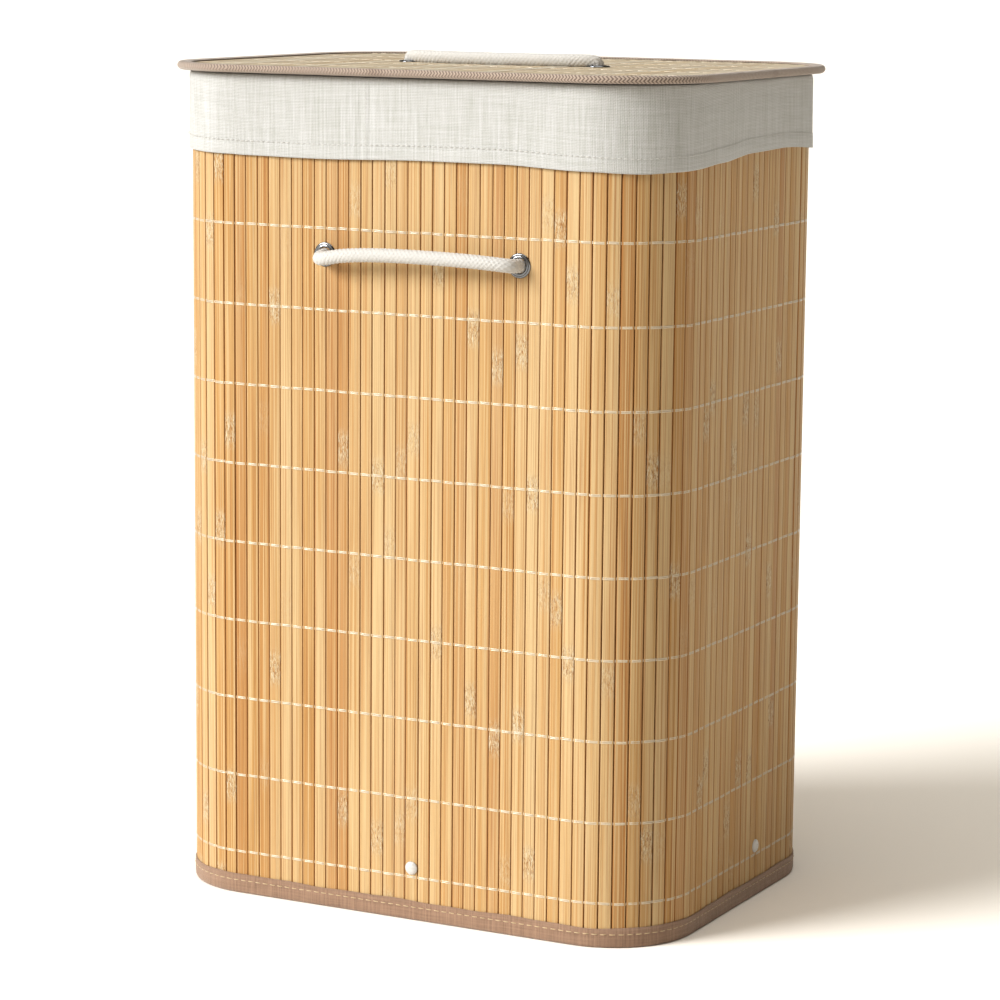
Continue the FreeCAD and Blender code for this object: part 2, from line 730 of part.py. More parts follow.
def trim_to_outline(body, offset, bottom):
    """Cuts away everything outside the outline at this offset."""
    sketch = new_sketch(body, "XY_Plane", bottom)
    far_x, far_y = "body_width", "body_depth"
    add_polygon(
        sketch,
        [
            (f"-{far_x}", f"-{far_y}"),
            (far_x, f"-{far_y}"),
            (far_x, far_y),
            (f"-{far_x}", far_y),
        ],
    )
    add_outline(sketch, offset)
    pocket(body, sketch, reverse=True)


def cut_lid_holes(body, bottom):
    """Cuts the two holes for the lid handle's eyelets."""
    holes = new_sketch(body, "XY_Plane", bottom)
    for side in ("-", ""):
        add_circle(holes, f"{side}handle_span / 2", "0", HOLE_RADIUS)
    pocket(body, holes, reverse=True)


def lid_slats():
    """Slats that run front to back, cut to the lid's round corners."""
    body = new_body()
    half_x = f"(body_width / 2 + {LID_PANEL_OFFSET})"
    half_y = f"(body_depth / 2 + {LID_PANEL_OFFSET})"
    pitch = f"(2 * {half_x} / lid_slat_total)"
    left, right = f"-{half_x} + slat_gap / 2", f"-{half_x} + {pitch} - slat_gap / 2"
    sketch = new_sketch(body, "XY_Plane", LID_SLAT_BOTTOM)
    low, high = f"-{half_y}", half_y
    add_polygon(sketch, [(left, low), (right, low), (right, high), (left, high)])
    slat = pad(body, sketch, "slat_thickness")
    repeat_along(body, slat, "X_Axis", pitch, "lid_slat_total")
    trim_to_outline(body, LID_PANEL_OFFSET, LID_BOTTOM)
    cut_lid_holes(body, LID_BOTTOM)
    return keep(body, "lid_slats")


def lid_threads():
    """Rows of thread across the lid's slats; none crosses the handle's eyelets."""
    body = new_body()
    half = "(body_width / 2)"
    first = "(-lid_thread_pitch * (lid_thread_rows - 1) / 2 + lid_thread_pitch / 4)"
    low, high = f"{first} - lid_thread_width / 2", f"{first} + lid_thread_width / 2"
    bottom = f"({LID_SLAT_TOP} + lid_thread_thickness / 3)"
    sketch = new_sketch(body, "XY_Plane", bottom)
    add_polygon(sketch, [(f"-{half}", low), (half, low), (half, high), (f"-{half}", high)])
    row = pad(body, sketch, "lid_thread_thickness")
    repeat_along(body, row, "Y_Axis", "lid_thread_pitch", "lid_thread_rows")
    inner = "(lid_overhang - lid_tape_width - layer_clearance)"
    trim_to_outline(body, inner, LID_BOTTOM)
    return keep(body, "lid_threads")


def lid_backing():
    """The cloth-faced board under the lid's slats."""
    body = new_body()
    sketch = new_sketch(body, "XY_Plane", LID_BOARD_BOTTOM)
    add_outline(sketch, LID_PANEL_OFFSET)
    pad(body, sketch, "lid_board_thickness")
    cut_lid_holes(body, LID_BOTTOM)
    return keep(body, "lid_backing")


def lid_binding():
    """Woven tape folded round the lid's edge and its wire, open towards the middle."""
    body = new_body()
    inner = "(lid_overhang - lid_tape_width)"
    ring(body, inner, "lid_overhang", LID_BOTTOM, LID_EDGE_HEIGHT)
    slot = new_sketch(body, "XY_Plane", f"{LID_BOTTOM} + tape_thickness")
    add_outline(slot, "lid_overhang - tape_thickness")
    add_outline(slot, f"{inner} - tape_thickness")
    pocket(body, slot, f"{LID_EDGE_HEIGHT} - 2 * tape_thickness", reverse=True)
    return keep(body, "lid_binding")


def hinge_tabs():
    """Two cloth tabs, sewn to the back wall below the cuff, that carry the lid's back edge."""
    body = new_body()
    foot = "(thread_standoff + thread_thickness + layer_clearance)"
    stand = f"({CUFF_OUT} + layer_clearance)"
    wall = "body_depth / 2"
    top = f"{LID_BOTTOM} - layer_clearance"
    knee = f"({CUFF_LOW} - tab_below_cuff)"
    bottom = f"({knee} - tab_foot_length)"
    outline = [
        (f"{wall} + {foot}", bottom),
        (f"{wall} + {foot} + tab_thickness", bottom),
        (f"{wall} + {foot} + tab_thickness", f"{knee} - tab_thickness"),
        (f"{wall} + {stand} + tab_thickness", f"{knee} + tab_thickness"),
        (f"{wall} + {stand} + tab_thickness", top),
        (f"{wall} + {stand}", top),
        (f"{wall} + {stand}", f"{knee} + 2 * tab_thickness"),
        (f"{wall} + {foot}", knee),
    ]
    sketch = new_sketch(body, "YZ_Plane")
    add_polygon(sketch, outline)
    tab = pad(body, sketch, "tab_width", midplane=True)
    repeat_along(body, tab, "X_Axis", "tab_spacing", "2")
    place(body, x="-tab_spacing / 2")
    return keep(body, "hinge_tabs")


# ---------------------------------------------------------------- assembly

for wall_name in WALLS:
    slat_wall(wall_name)
half_wide, half_deep = "(body_width / 2 - corner_radius)", "(body_depth / 2 - corner_radius)"
slat_corner("back_right", 0, half_wide, half_deep)
slat_corner("back_left", 90, f"-{half_wide}", half_deep)
slat_corner("front_left", 180, f"-{half_wide}", f"-{half_deep}")
slat_corner("front_right", 270, half_wide, f"-{half_deep}")
weft_threads()
wall_lining()
bottom_binding()
top_binding()
wire_frame("rim_wire", RIM_WIRE_OFFSET, RIM_WIRE_HEIGHT, "wire_diameter")
wire_frame("base_wire", BASE_WIRE_OFFSET, BASE_WIRE_HEIGHT, "wire_diameter")
for wall_name in WALLS:
    rivet_shift = "long_rivet_shift" if wall_name in ("front", "back") else "short_rivet_shift"
    wire_clip(wall_name, rivet_shift)
    rivet(wall_name, rivet_shift)
base_board()
liner_bag()
for spot in ("front", "back", "lid"):
    eyelets(spot)
    washers(spot)
    rope_knots(spot)
    handle_rope(spot)
lid_slats()
lid_threads()
lid_backing()
lid_z = f"({LID_BOTTOM} + {LID_EDGE_HEIGHT} / 2)"
wire_frame("lid_wire", LID_WIRE_OFFSET, lid_z, "lid_wire_diameter")
lid_binding()
hinge_tabs()

doc.recompute()
for item in doc.Objects:
    if "Invalid" in item.State or "Error" in item.State:
        raise RuntimeError(f"{item.Label} ({item.Name}) did not compute: {item.State}")
for part in parts:
    if part.Shape.isNull() or not part.Shape.isValid():
        raise RuntimeError(f"{part.Label} has no valid shape")

os.makedirs("parts", exist_ok=True)
for part in parts:
    part.Shape.exportStep(os.path.join("parts", f"{part.Label}.step"))
    box = part.Shape.BoundBox
    low = f"{box.XMin:.1f} {box.YMin:.1f} {box.ZMin:.1f}"
    high = f"{box.XMax:.1f} {box.YMax:.1f} {box.ZMax:.1f}"
    print(f"{part.Label}: {len(part.Shape.Solids)} solids, from {low} to {high}")
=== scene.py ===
import math
import random

import bmesh
import bpy
from mathutils import Matrix, Vector, noise


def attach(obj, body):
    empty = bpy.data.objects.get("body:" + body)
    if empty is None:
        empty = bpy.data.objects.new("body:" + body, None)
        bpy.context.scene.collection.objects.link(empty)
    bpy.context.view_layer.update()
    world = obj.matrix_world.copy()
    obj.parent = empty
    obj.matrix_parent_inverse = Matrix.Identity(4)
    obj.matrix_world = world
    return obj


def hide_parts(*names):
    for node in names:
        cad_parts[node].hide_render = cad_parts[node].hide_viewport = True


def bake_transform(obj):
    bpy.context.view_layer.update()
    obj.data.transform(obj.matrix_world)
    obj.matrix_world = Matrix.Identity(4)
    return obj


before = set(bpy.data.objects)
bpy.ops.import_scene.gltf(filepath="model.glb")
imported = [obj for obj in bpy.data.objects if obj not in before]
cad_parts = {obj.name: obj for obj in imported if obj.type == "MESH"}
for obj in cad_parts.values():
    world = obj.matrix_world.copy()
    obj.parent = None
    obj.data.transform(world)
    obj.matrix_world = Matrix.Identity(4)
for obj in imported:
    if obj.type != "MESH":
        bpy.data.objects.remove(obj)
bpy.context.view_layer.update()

# A folding bamboo laundry hamper: a slat mat stands round a linen liner, with a hinged lid and rope handles.
# Metres throughout. "Run" is a distance along the slats' outer face, from the front wall's left end and towards
# +X, and "offset" is a distance outwards from that face.


# ------------------------------------------------------------------ bamboo mat
# 134 upright bamboo slats about 9.5 mm wide, split, planed and sanded, in four flat walls and four round
# corners. No two are quite as wide or the same colour, and many show a pale feathered knuckle of the cane.

# half of each wall's flat part, and the corners' radius to the slats' outer face
HALF_LONG, HALF_SHORT, CORNER = 0.137, 0.087, 0.063
SIDE_FACE, BACK_FACE = HALF_LONG + CORNER, HALF_SHORT + CORNER
QUARTER = CORNER * math.pi / 2
PLAN_RUN = 4 * (HALF_LONG + HALF_SHORT + QUARTER)


def on_plan(run):
    """The spot at a run: the point that it turns about, and the angle that it faces."""
    run %= PLAN_RUN
    turn = -math.pi / 2
    corners = ((1, -1), (1, 1), (-1, 1), (-1, -1))
    for i, (x, y) in enumerate(corners):
        wall = 2 * (HALF_LONG if i % 2 == 0 else HALF_SHORT)
        centre = Vector((x * HALF_LONG, y * HALF_SHORT))
        ahead = Vector((-math.sin(turn), math.cos(turn)))
        if run < wall:
            return centre - ahead * (wall - run), turn
        run -= wall
        if run < QUARTER:
            return centre, turn + run / CORNER
        run -= QUARTER
        turn += math.pi / 2
    return centre, turn


def outside(run, offset, height):
    """The point at this run, offset and height."""
    centre, turn = on_plan(run)
    reach = CORNER + offset
    return Vector((centre.x + reach * math.cos(turn), centre.y + reach * math.sin(turn), height))


def paint(tint):
    """A colour as it looks on the front wall, where the room's light is nearly twice as strong as white."""
    in_room = 0.55
    levels = [int(tint[i:i + 2], 16) / 255 for i in (0, 2, 4)]
    return (*[in_room * (v / 12.92 if v <= 0.04045 else ((v + 0.055) / 1.055) ** 2.4) for v in levels], 1)


def node(tree, kind, inputs=(), out=0, **settings):
    """Adds a node, sets it up and feeds its inputs, by place or by name, with values or outputs."""
    made = tree.nodes.new(kind)
    for name, setting in settings.items():
        setattr(made, name, setting)
    for key, given in inputs.items() if isinstance(inputs, dict) else enumerate(inputs):
        if isinstance(given, bpy.types.NodeSocket):
            tree.links.new(given, made.inputs[key])
        elif given is not None:
            made.inputs[key].default_value = given
    return made.outputs[out]


def maths(tree, operation, *inputs, clamp=False):
    return node(tree, "ShaderNodeMath", inputs, operation=operation, use_clamp=clamp)


def times(tree, a, b):
    return maths(tree, "MULTIPLY", a, b)


def size(tree, value):
    """A value without its sign."""
    return maths(tree, "ABSOLUTE", value)


def combine(tree, x=0.0, y=0.0, z=0.0):
    return node(tree, "ShaderNodeCombineXYZ", (x, y, z))


def split(tree, vector):
    """The X, Y and Z of a vector."""
    return tuple(node(tree, "ShaderNodeSeparateXYZ", (vector,)).node.outputs)


def vector_maths(tree, operation, a, b=None):
    if operation == "SCALE":
        return node(tree, "ShaderNodeVectorMath", {0: a, "Scale": b}, operation="SCALE")
    return node(tree, "ShaderNodeVectorMath", (a, b), operation=operation)


def ramp(tree, value, low, high, to_low=0.0, to_high=1.0):
    """value carried from one range to another, held at the ends and smooth between them."""
    given = (value, low, high, to_low, to_high)
    return node(tree, "ShaderNodeMapRange", given, interpolation_type="SMOOTHSTEP")


def mix(tree, share, a, b, blend="MIX"):
    """A mix of two colours; the node's colour sockets can only be told apart by their places."""
    return node(tree, "ShaderNodeMix", {0: share, 6: a, 7: b}, out=2, data_type="RGBA", blend_type=blend)


def blotch(tree, vector, stretch, scale=1.0, detail=3.0, rough=0.55, warp=0.0):
    """Noise on a vector that is first stretched."""
    seen = vector_maths(tree, "MULTIPLY", vector, stretch)
    given = {"Vector": seen, "Scale": scale, "Detail": detail, "Roughness": rough, "Distortion": warp}
    return node(tree, "ShaderNodeTexNoise", given)


def effect(name, inputs, outputs):
    """A shader node group with named sockets; returns it, its inputs by name and its output node."""
    tree = bpy.data.node_groups.new(name, "ShaderNodeTree")
    for label, kind in inputs.items():
        tree.interface.new_socket(label, in_out="INPUT", socket_type=f"NodeSocket{kind}")
    for label, kind in outputs.items():
        tree.interface.new_socket(label, in_out="OUTPUT", socket_type=f"NodeSocket{kind}")
    given = tree.nodes.new("NodeGroupInput")
    return tree, {s.name: s for s in given.outputs if s.name}, tree.nodes.new("NodeGroupOutput")


def use_effect(tree, group, **inputs):
    made = tree.nodes.new("ShaderNodeGroup")
    made.node_tree = group
    for label, given in inputs.items():
        socket = made.inputs[label.replace("_", " ")]
        if isinstance(given, bpy.types.NodeSocket):
            tree.links.new(given, socket)
        else:
            socket.default_value = given
    return made.outputs


def finish(name, **sockets):
    """A material with one surface shader; sockets take values or, by name, outputs later."""
    made = bpy.data.materials.new(name)
    made.use_nodes = True
    shader = made.node_tree.nodes["Principled BSDF"]
    for label, given in sockets.items():
        shader.inputs[label.replace("_", " ")].default_value = given
    return made, made.node_tree, shader


def dress(tree, shader, colour=None, rough=None, height=None, depth=0.0002, strength=0.6):
    """Feeds a material's shader with what varies over the surface."""
    if colour is not None:
        tree.links.new(colour, shader.inputs["Base Color"])
    if rough is not None:
        tree.links.new(rough, shader.inputs["Roughness"])
    if height is not None:
        given = {"Height": height, "Distance": depth, "Strength": strength}
        tree.links.new(node(tree, "ShaderNodeBump", given), shader.inputs["Normal"])


def attribute(tree, name, out="Vector"):
    return node(tree, "ShaderNodeAttribute", out=out, attribute_name=name)


def on_piece(tree):
    """Where the spot is on the hamper, in metres."""
    return node(tree, "ShaderNodeTexCoord", out="Object")


# the grain of split cane: fine streaks along the slat and a feathered knuckle here and there, with painted
# shade browning both long edges
GRAIN, given, leave = effect(
    "cane_grain",
    {"Fibre": "Vector", "Seed": "Float", "Tone": "Float", "Pale": "Color", "Honey": "Color", "Amber": "Color"},
    {"Colour": "Color", "Roughness": "Float", "Height": "Float"},
)
KNUCKLE_PITCH = 263.0
seed, pale, honey, amber = (given[label] for label in ("Seed", "Pale", "Honey", "Amber"))
millimetres = vector_maths(GRAIN, "SCALE", given["Fibre"], 1000.0)
across, _, along = split(GRAIN, millimetres)
own = vector_maths(GRAIN, "ADD", millimetres, combine(GRAIN, times(GRAIN, seed, 37.0)))
fine = blotch(GRAIN, own, (2.2, 2.2, 0.008), detail=4.0, rough=0.6)
bands = blotch(GRAIN, own, (0.85, 0.85, 0.0025), detail=3.0, rough=0.65)
broad = blotch(GRAIN, own, (0.16, 0.16, 0.004), detail=2.0)

# how far along the cane the next knuckle is, and how plainly this slat shows it
cane = maths(GRAIN, "DIVIDE", along, KNUCKLE_PITCH)
phase = maths(GRAIN, "FRACT", maths(GRAIN, "ADD", cane, times(GRAIN, seed, 0.731)))
away = times(GRAIN, size(GRAIN, maths(GRAIN, "SUBTRACT", phase, 0.5)), KNUCKLE_PITCH)
shown = ramp(GRAIN, maths(GRAIN, "FRACT", times(GRAIN, seed, 3.17)), 0.2, 0.7)
knuckle = times(GRAIN, ramp(GRAIN, away, 17.0, 5.0), shown)
feather = ramp(GRAIN, blotch(GRAIN, own, (1.9, 1.9, 0.17), warp=1.2), 0.46, 0.6)
shifted = vector_maths(GRAIN, "ADD", own, (9.0, 0.0, 5.0))
speck = ramp(GRAIN, blotch(GRAIN, shifted, (2.0, 2.0, 0.3), detail=2.0, warp=1.2), 0.52, 0.64)

tone = maths(GRAIN, "MULTIPLY_ADD", maths(GRAIN, "SUBTRACT", given["Tone"], 0.5), 0.4, broad)
colour = mix(GRAIN, ramp(GRAIN, tone, 0.15, 0.85), honey, pale)
warm = ramp(GRAIN, maths(GRAIN, "FRACT", times(GRAIN, seed, 7.93)), 0.8, 1.0, 0.0, 0.42)
colour = mix(GRAIN, warm, colour, amber)
colour = mix(GRAIN, ramp(GRAIN, bands, 0.5, 0.36, 0.0, 0.5), colour, amber)
colour = mix(GRAIN, ramp(GRAIN, bands, 0.5, 0.62, 0.0, 0.85), colour, pale)
# painted shade: the colour browns towards both long edges, where the gaps between the slats fall into shade
edge = ramp(GRAIN, size(GRAIN, across), 3.9, 4.5, 0.0, 0.55)
colour = mix(GRAIN, edge, colour, paint("c9853f"))
dark_line = ramp(GRAIN, fine, 0.5, 0.34, 0.0, 0.5)
colour = mix(GRAIN, dark_line, colour, mix(GRAIN, 0.75, colour, amber, "MULTIPLY"))
for mask, share, tint in ((feather, 0.95, "fff2d2"), (speck, 0.85, "a56c2e")):
    colour = mix(GRAIN, times(GRAIN, knuckle, times(GRAIN, mask, share)), colour, paint(tint))
relief = maths(GRAIN, "ADD", times(GRAIN, fine, 0.5), bands)
for label, made in (
    ("Colour", colour),
    ("Roughness", maths(GRAIN, "MULTIPLY_ADD", fine, 0.3, 0.33)),
    ("Height", maths(GRAIN, "MULTIPLY_ADD", times(GRAIN, knuckle, feather), 0.5, relief)),
):
    GRAIN.links.new(made, leave.inputs[label])


def cane_finish(name, pale, honey, amber):
    """Planed cane, which reads the fibre, seed and tone that each slat carries."""
    made, tree, shader = finish(name, IOR=1.45, Specular_IOR_Level=0.22)
    out = use_effect(
        tree,
        GRAIN,
        Fibre=attribute(tree, "fibre"),
        Seed=attribute(tree, "seed", "Fac"),
        Tone=attribute(tree, "tone", "Fac"),
        Pale=paint(pale),
        Honey=paint(honey),
        Amber=paint(amber),
    )
    dress(tree, shader, out["Colour"], out["Roughness"], out["Height"], 0.00025)
    return made


def geometry_tree(name, inputs):
    """A Geometry Nodes tree that starts from points; returns it and its inputs by name."""
    tree = bpy.data.node_groups.new(name, "GeometryNodeTree")
    tree.interface.new_socket("Geometry", in_out="OUTPUT", socket_type="NodeSocketGeometry")
    for label, kind in {"Points": "Geometry", **inputs, "Finish": "Material"}.items():
        tree.interface.new_socket(label, in_out="INPUT", socket_type=f"NodeSocket{kind}")
    given = tree.nodes.new("NodeGroupInput")
    return tree, {s.name: s for s in given.outputs if s.name}


def end_tree(tree, geometry, finish_socket):
    geometry = node(tree, "GeometryNodeRealizeInstances", (geometry,))
    geometry = node(tree, "GeometryNodeSetMaterial", {"Geometry": geometry, "Material": finish_socket})
    tree.links.new(geometry, tree.nodes.new("NodeGroupOutput").inputs[0])


def named(tree, name, kind="FLOAT"):
    return node(tree, "GeometryNodeInputNamedAttribute", (name,), data_type=kind)


def between(tree, low, high, seed):
    """A vector for each item, anywhere between two."""
    given = {"Min": low, "Max": high, "Seed": seed}
    return node(tree, "FunctionNodeRandomValue", given, data_type="FLOAT_VECTOR")


def piece(name, mesh, body, slot, *nodes):
    """A finished mesh as a piece of the hamper, in place of the CAD nodes named last."""
    obj = bpy.data.objects.new(name, mesh)
    bpy.context.scene.collection.objects.link(obj)
    if body:
        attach(obj, body)
    if nodes:
        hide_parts(*nodes)
    return obj


def point_mesh(spots):
    """Points that carry a turn and any numbers; a spot is a place and a dict of them."""
    mesh = bpy.data.meshes.new("points")
    mesh.from_pydata([tuple(place) for place, _ in spots], [], [])
    for label, first in spots[0][1].items():
        many = hasattr(first, "__len__")
        layer = mesh.attributes.new(label, "FLOAT_VECTOR" if many else "FLOAT", "POINT")
        for item, (_, facts) in zip(layer.data, spots):
            if many:
                item.vector = facts[label]
            else:
                item.value = facts[label]
    return mesh


def grow(tree, spots, sizes):
    """The plain mesh that a tree makes on these spots."""
    seedbed = bpy.data.objects.new("seedbed", point_mesh(spots))
    bpy.context.scene.collection.objects.link(seedbed)
    modifier = seedbed.modifiers.new("grow", "NODES")
    modifier.node_group = tree
    for item in tree.interface.items_tree:
        if item.in_out == "INPUT" and item.name in sizes:
            modifier[item.identifier] = sizes[item.name]
    seedbed.update_tag()
    ready = seedbed.evaluated_get(bpy.context.evaluated_depsgraph_get())
    mesh = bpy.data.meshes.new_from_object(ready)
    bpy.data.objects.remove(seedbed)
    return mesh


SLAT_TREE, given = geometry_tree(
    "slats",
    {"Length": "Float", "Width": "Float", "Thickness": "Float", "Edge Round": "Float", "Crown": "Float",
     "Trim Radius": "Float", "Twist": "Float", "Seed": "Int"},
)
rectangle = {"Width": given["Width"], "Height": given["Thickness"]}
outline = node(SLAT_TREE, "GeometryNodeCurvePrimitiveQuadrilateral", rectangle)
outline = node(SLAT_TREE, "GeometryNodeSubdivideCurve", {"Curve": outline, "Cuts": 1})
rounding = {"Curve": outline, "Radius": given["Edge Round"], "Count": 2}
outline = node(SLAT_TREE, "GeometryNodeFilletCurve", rounding, mode="POLY")
end = node(SLAT_TREE, "GeometryNodeFillCurve", (outline,), mode="NGONS")
pull = {"Mesh": end, "Offset": combine(SLAT_TREE, z=given["Length"]), "Offset Scale": 1.0, "Individual": False}
drawn = node(SLAT_TREE, "GeometryNodeExtrudeMesh", pull)
both = SLAT_TREE.nodes.new("GeometryNodeJoinGeometry")
for half in (drawn, node(SLAT_TREE, "GeometryNodeFlipFaces", (end,))):
    SLAT_TREE.links.new(half, both.inputs[0])
solid = node(SLAT_TREE, "GeometryNodeMergeByDistance", {"Geometry": both.outputs[0], "Distance": 1e-6})
half_thick = times(SLAT_TREE, given["Thickness"], 0.5)
inward = combine(SLAT_TREE, y=half_thick)
solid = node(SLAT_TREE, "GeometryNodeTransform", {"Geometry": solid, "Translation": inward})

# the middle of the face stands a little proud, and each point keeps its place in the cane
spot = node(SLAT_TREE, "GeometryNodeInputPosition")
x, y, z = split(SLAT_TREE, spot)
middle = maths(SLAT_TREE, "LESS_THAN", size(SLAT_TREE, x), 1e-4)
front = times(SLAT_TREE, middle, maths(SLAT_TREE, "LESS_THAN", y, half_thick))
proud = combine(SLAT_TREE, y=times(SLAT_TREE, front, times(SLAT_TREE, given["Crown"], -1.0)))
solid = node(SLAT_TREE, "GeometryNodeSetPosition", {"Geometry": solid, "Offset": proud})
solid = node(
    SLAT_TREE, "GeometryNodeStoreNamedAttribute", {"Geometry": solid, "Name": "fibre", "Value": spot},
    data_type="FLOAT_VECTOR", domain="POINT",
)

# one slat on every spot, as wide as the spot says, turned and sunk a little
lean = between(SLAT_TREE, (0, 0, -1), (0, 0, 1), given["Seed"])
lean = vector_maths(SLAT_TREE, "SCALE", lean, given["Twist"])
turn = vector_maths(SLAT_TREE, "ADD", named(SLAT_TREE, "turn", "FLOAT_VECTOR"), lean)
scale = combine(SLAT_TREE, maths(SLAT_TREE, "DIVIDE", named(SLAT_TREE, "wide"), given["Width"]), 1.0, 1.0)
mat = {"Points": given["Points"], "Instance": solid, "Rotation": turn, "Scale": scale}
mat = node(SLAT_TREE, "GeometryNodeInstanceOnPoints", mat)
sunk = between(SLAT_TREE, (0, 0, 0), (0, 0.0002, 0), given["Seed"])
mat = {"Instances": mat, "Translation": sunk, "Local Space": True}
mat = node(SLAT_TREE, "GeometryNodeTranslateInstances", mat)
mat = node(SLAT_TREE, "GeometryNodeRealizeInstances", (mat,))

# each end is cut back to the round-cornered outline
past = maths(SLAT_TREE, "MAXIMUM", maths(SLAT_TREE, "SUBTRACT", size(SLAT_TREE, x), HALF_LONG), 0.0)
trim = given["Trim Radius"]
square = maths(SLAT_TREE, "SUBTRACT", times(SLAT_TREE, trim, trim), times(SLAT_TREE, past, past))
reach = maths(SLAT_TREE, "SQRT", maths(SLAT_TREE, "MAXIMUM", square, 0.0))
edge = maths(SLAT_TREE, "ADD", reach, HALF_SHORT)
kept = maths(SLAT_TREE, "MINIMUM", maths(SLAT_TREE, "MAXIMUM", y, times(SLAT_TREE, edge, -1.0)), edge)
mat = node(SLAT_TREE, "GeometryNodeSetPosition", {"Geometry": mat, "Position": combine(SLAT_TREE, x, kept, z)})
end_tree(SLAT_TREE, mat, given["Finish"])

MAT_FOOT = 0.0009
SLAT_WIDTH, SLAT_THICK = 0.0091, 0.002
chance = random.Random(11)
slat_edges, run = [], 0.0
for side in range(4):
    wall, total = ((2 * HALF_LONG, 29), (2 * HALF_SHORT, 18))[side % 2]
    slat_edges += [(run + wall * i / total, 1.0) for i in range(total)]
    run += wall
    slat_edges += [(run + QUARTER * i / 10, 61 / 63) for i in range(10)]
    run += QUARTER
slat_edges = [(at + chance.uniform(-0.00045, 0.00045), share) for at, share in slat_edges]
wall_spots = []
for (start, share), (end, _) in zip(slat_edges, slat_edges[1:] + [(slat_edges[0][0] + PLAN_RUN, 1.0)]):
    centre, facing = on_plan((start + end) / 2)
    facts = {
        "turn": (0.0, 0.0, facing + math.pi / 2),
        "wide": (end - start) * share - chance.uniform(0.0002, 0.00045),
        "tone": chance.random(),
        "seed": chance.uniform(0, 40),
    }
    wall_spots.append((outside((start + end) / 2, 0.0, MAT_FOOT), facts))

WALL_CANE = cane_finish("wall_cane", "f7d9a7", "e2b372", "cd8c4c")
slats = grow(
    SLAT_TREE,
    wall_spots,
    {"Length": 0.5961, "Width": SLAT_WIDTH, "Thickness": SLAT_THICK, "Edge Round": 0.0007, "Crown": 0.0002,
     "Trim Radius": 0.09, "Twist": 0.022, "Seed": 3, "Finish": WALL_CANE},
)
SIDES = ("front", "right", "back", "left")
CORNERS = ("front_left", "front_right", "back_left", "back_right")
piece(
    "wall_slats", slats, "basket", "bamboo",
    *[f"{side}_slats" for side in SIDES], *[f"{corner}_corner_slats" for corner in CORNERS],
)


# ------------------------------------------------------------------ weft threads
# Ten rows of glossy twisted thread tie the slats into a mat. Each row shows as one short dash on every
# slat, a pair of strands that dive into the gaps on both sides.

THREAD_TREE, given = geometry_tree(
    "threads",
    {"Rows": "Int", "First": "Float", "Pitch": "Float", "Width": "Float", "Strand": "Float", "Dive": "Float",
     "Seed": "Int"},
)
first, pitch = combine(THREAD_TREE, z=given["First"]), combine(THREAD_TREE, z=given["Pitch"])
rows = {"Count": given["Rows"], "Start Location": first, "Offset": pitch}
rows = node(THREAD_TREE, "GeometryNodeMeshLine", rows, mode="OFFSET")
facing = named(THREAD_TREE, "turn", "FLOAT_VECTOR")
rows = {"Points": given["Points"], "Instance": rows, "Rotation": facing}
rows = node(THREAD_TREE, "GeometryNodeInstanceOnPoints", rows)
rows = node(THREAD_TREE, "GeometryNodeRealizeInstances", (rows,))

# one strand that dips at both ends, and the pair that it makes with its twin
half_wide = times(THREAD_TREE, given["Width"], 0.5)
left, right = combine(THREAD_TREE, times(THREAD_TREE, half_wide, -1.0)), combine(THREAD_TREE, half_wide)
line = node(THREAD_TREE, "GeometryNodeCurvePrimitiveLine", {"Start": left, "End": right})
line = node(THREAD_TREE, "GeometryNodeSubdivideCurve", {"Curve": line, "Cuts": 4})
x, _, _ = split(THREAD_TREE, node(THREAD_TREE, "GeometryNodeInputPosition"))
share = maths(THREAD_TREE, "DIVIDE", size(THREAD_TREE, x), half_wide)
dive = combine(THREAD_TREE, y=times(THREAD_TREE, maths(THREAD_TREE, "POWER", share, 10.0), given["Dive"]))
line = node(THREAD_TREE, "GeometryNodeSetPosition", {"Geometry": line, "Offset": dive})
ring = node(THREAD_TREE, "GeometryNodeCurvePrimitiveCircle", {"Resolution": 5, "Radius": given["Strand"]})
strand = {"Curve": line, "Profile Curve": ring, "Fill Caps": True}
strand = node(THREAD_TREE, "GeometryNodeCurveToMesh", strand)
pair = THREAD_TREE.nodes.new("GeometryNodeJoinGeometry")
for sign in (-0.98, 0.98):
    lift = combine(THREAD_TREE, z=times(THREAD_TREE, given["Strand"], sign))
    moved = node(THREAD_TREE, "GeometryNodeTransform", {"Geometry": strand, "Translation": lift})
    THREAD_TREE.links.new(moved, pair.inputs[0])
flat = node(THREAD_TREE, "GeometryNodeTransform", {"Geometry": pair.outputs[0], "Scale": (1.0, 0.5, 1.0)})

# one pair on every slat in every row, a little astray
sway = between(THREAD_TREE, (0, -0.025, 0), (0, 0.025, 0), given["Seed"])
turn = vector_maths(THREAD_TREE, "ADD", facing, sway)
wide = maths(THREAD_TREE, "ADD", named(THREAD_TREE, "wide"), 0.0001)
scale = combine(THREAD_TREE, maths(THREAD_TREE, "DIVIDE", wide, given["Width"]), 1.0, 1.0)
dashes = {"Points": rows, "Instance": flat, "Rotation": turn, "Scale": scale}
dashes = node(THREAD_TREE, "GeometryNodeInstanceOnPoints", dashes)
stray = between(THREAD_TREE, (0, -0.00005, -0.00022), (0, 0, 0.00022), given["Seed"])
dashes = {"Instances": dashes, "Translation": stray, "Local Space": True}
dashes = node(THREAD_TREE, "GeometryNodeTranslateInstances", dashes)
end_tree(THREAD_TREE, dashes, given["Finish"])

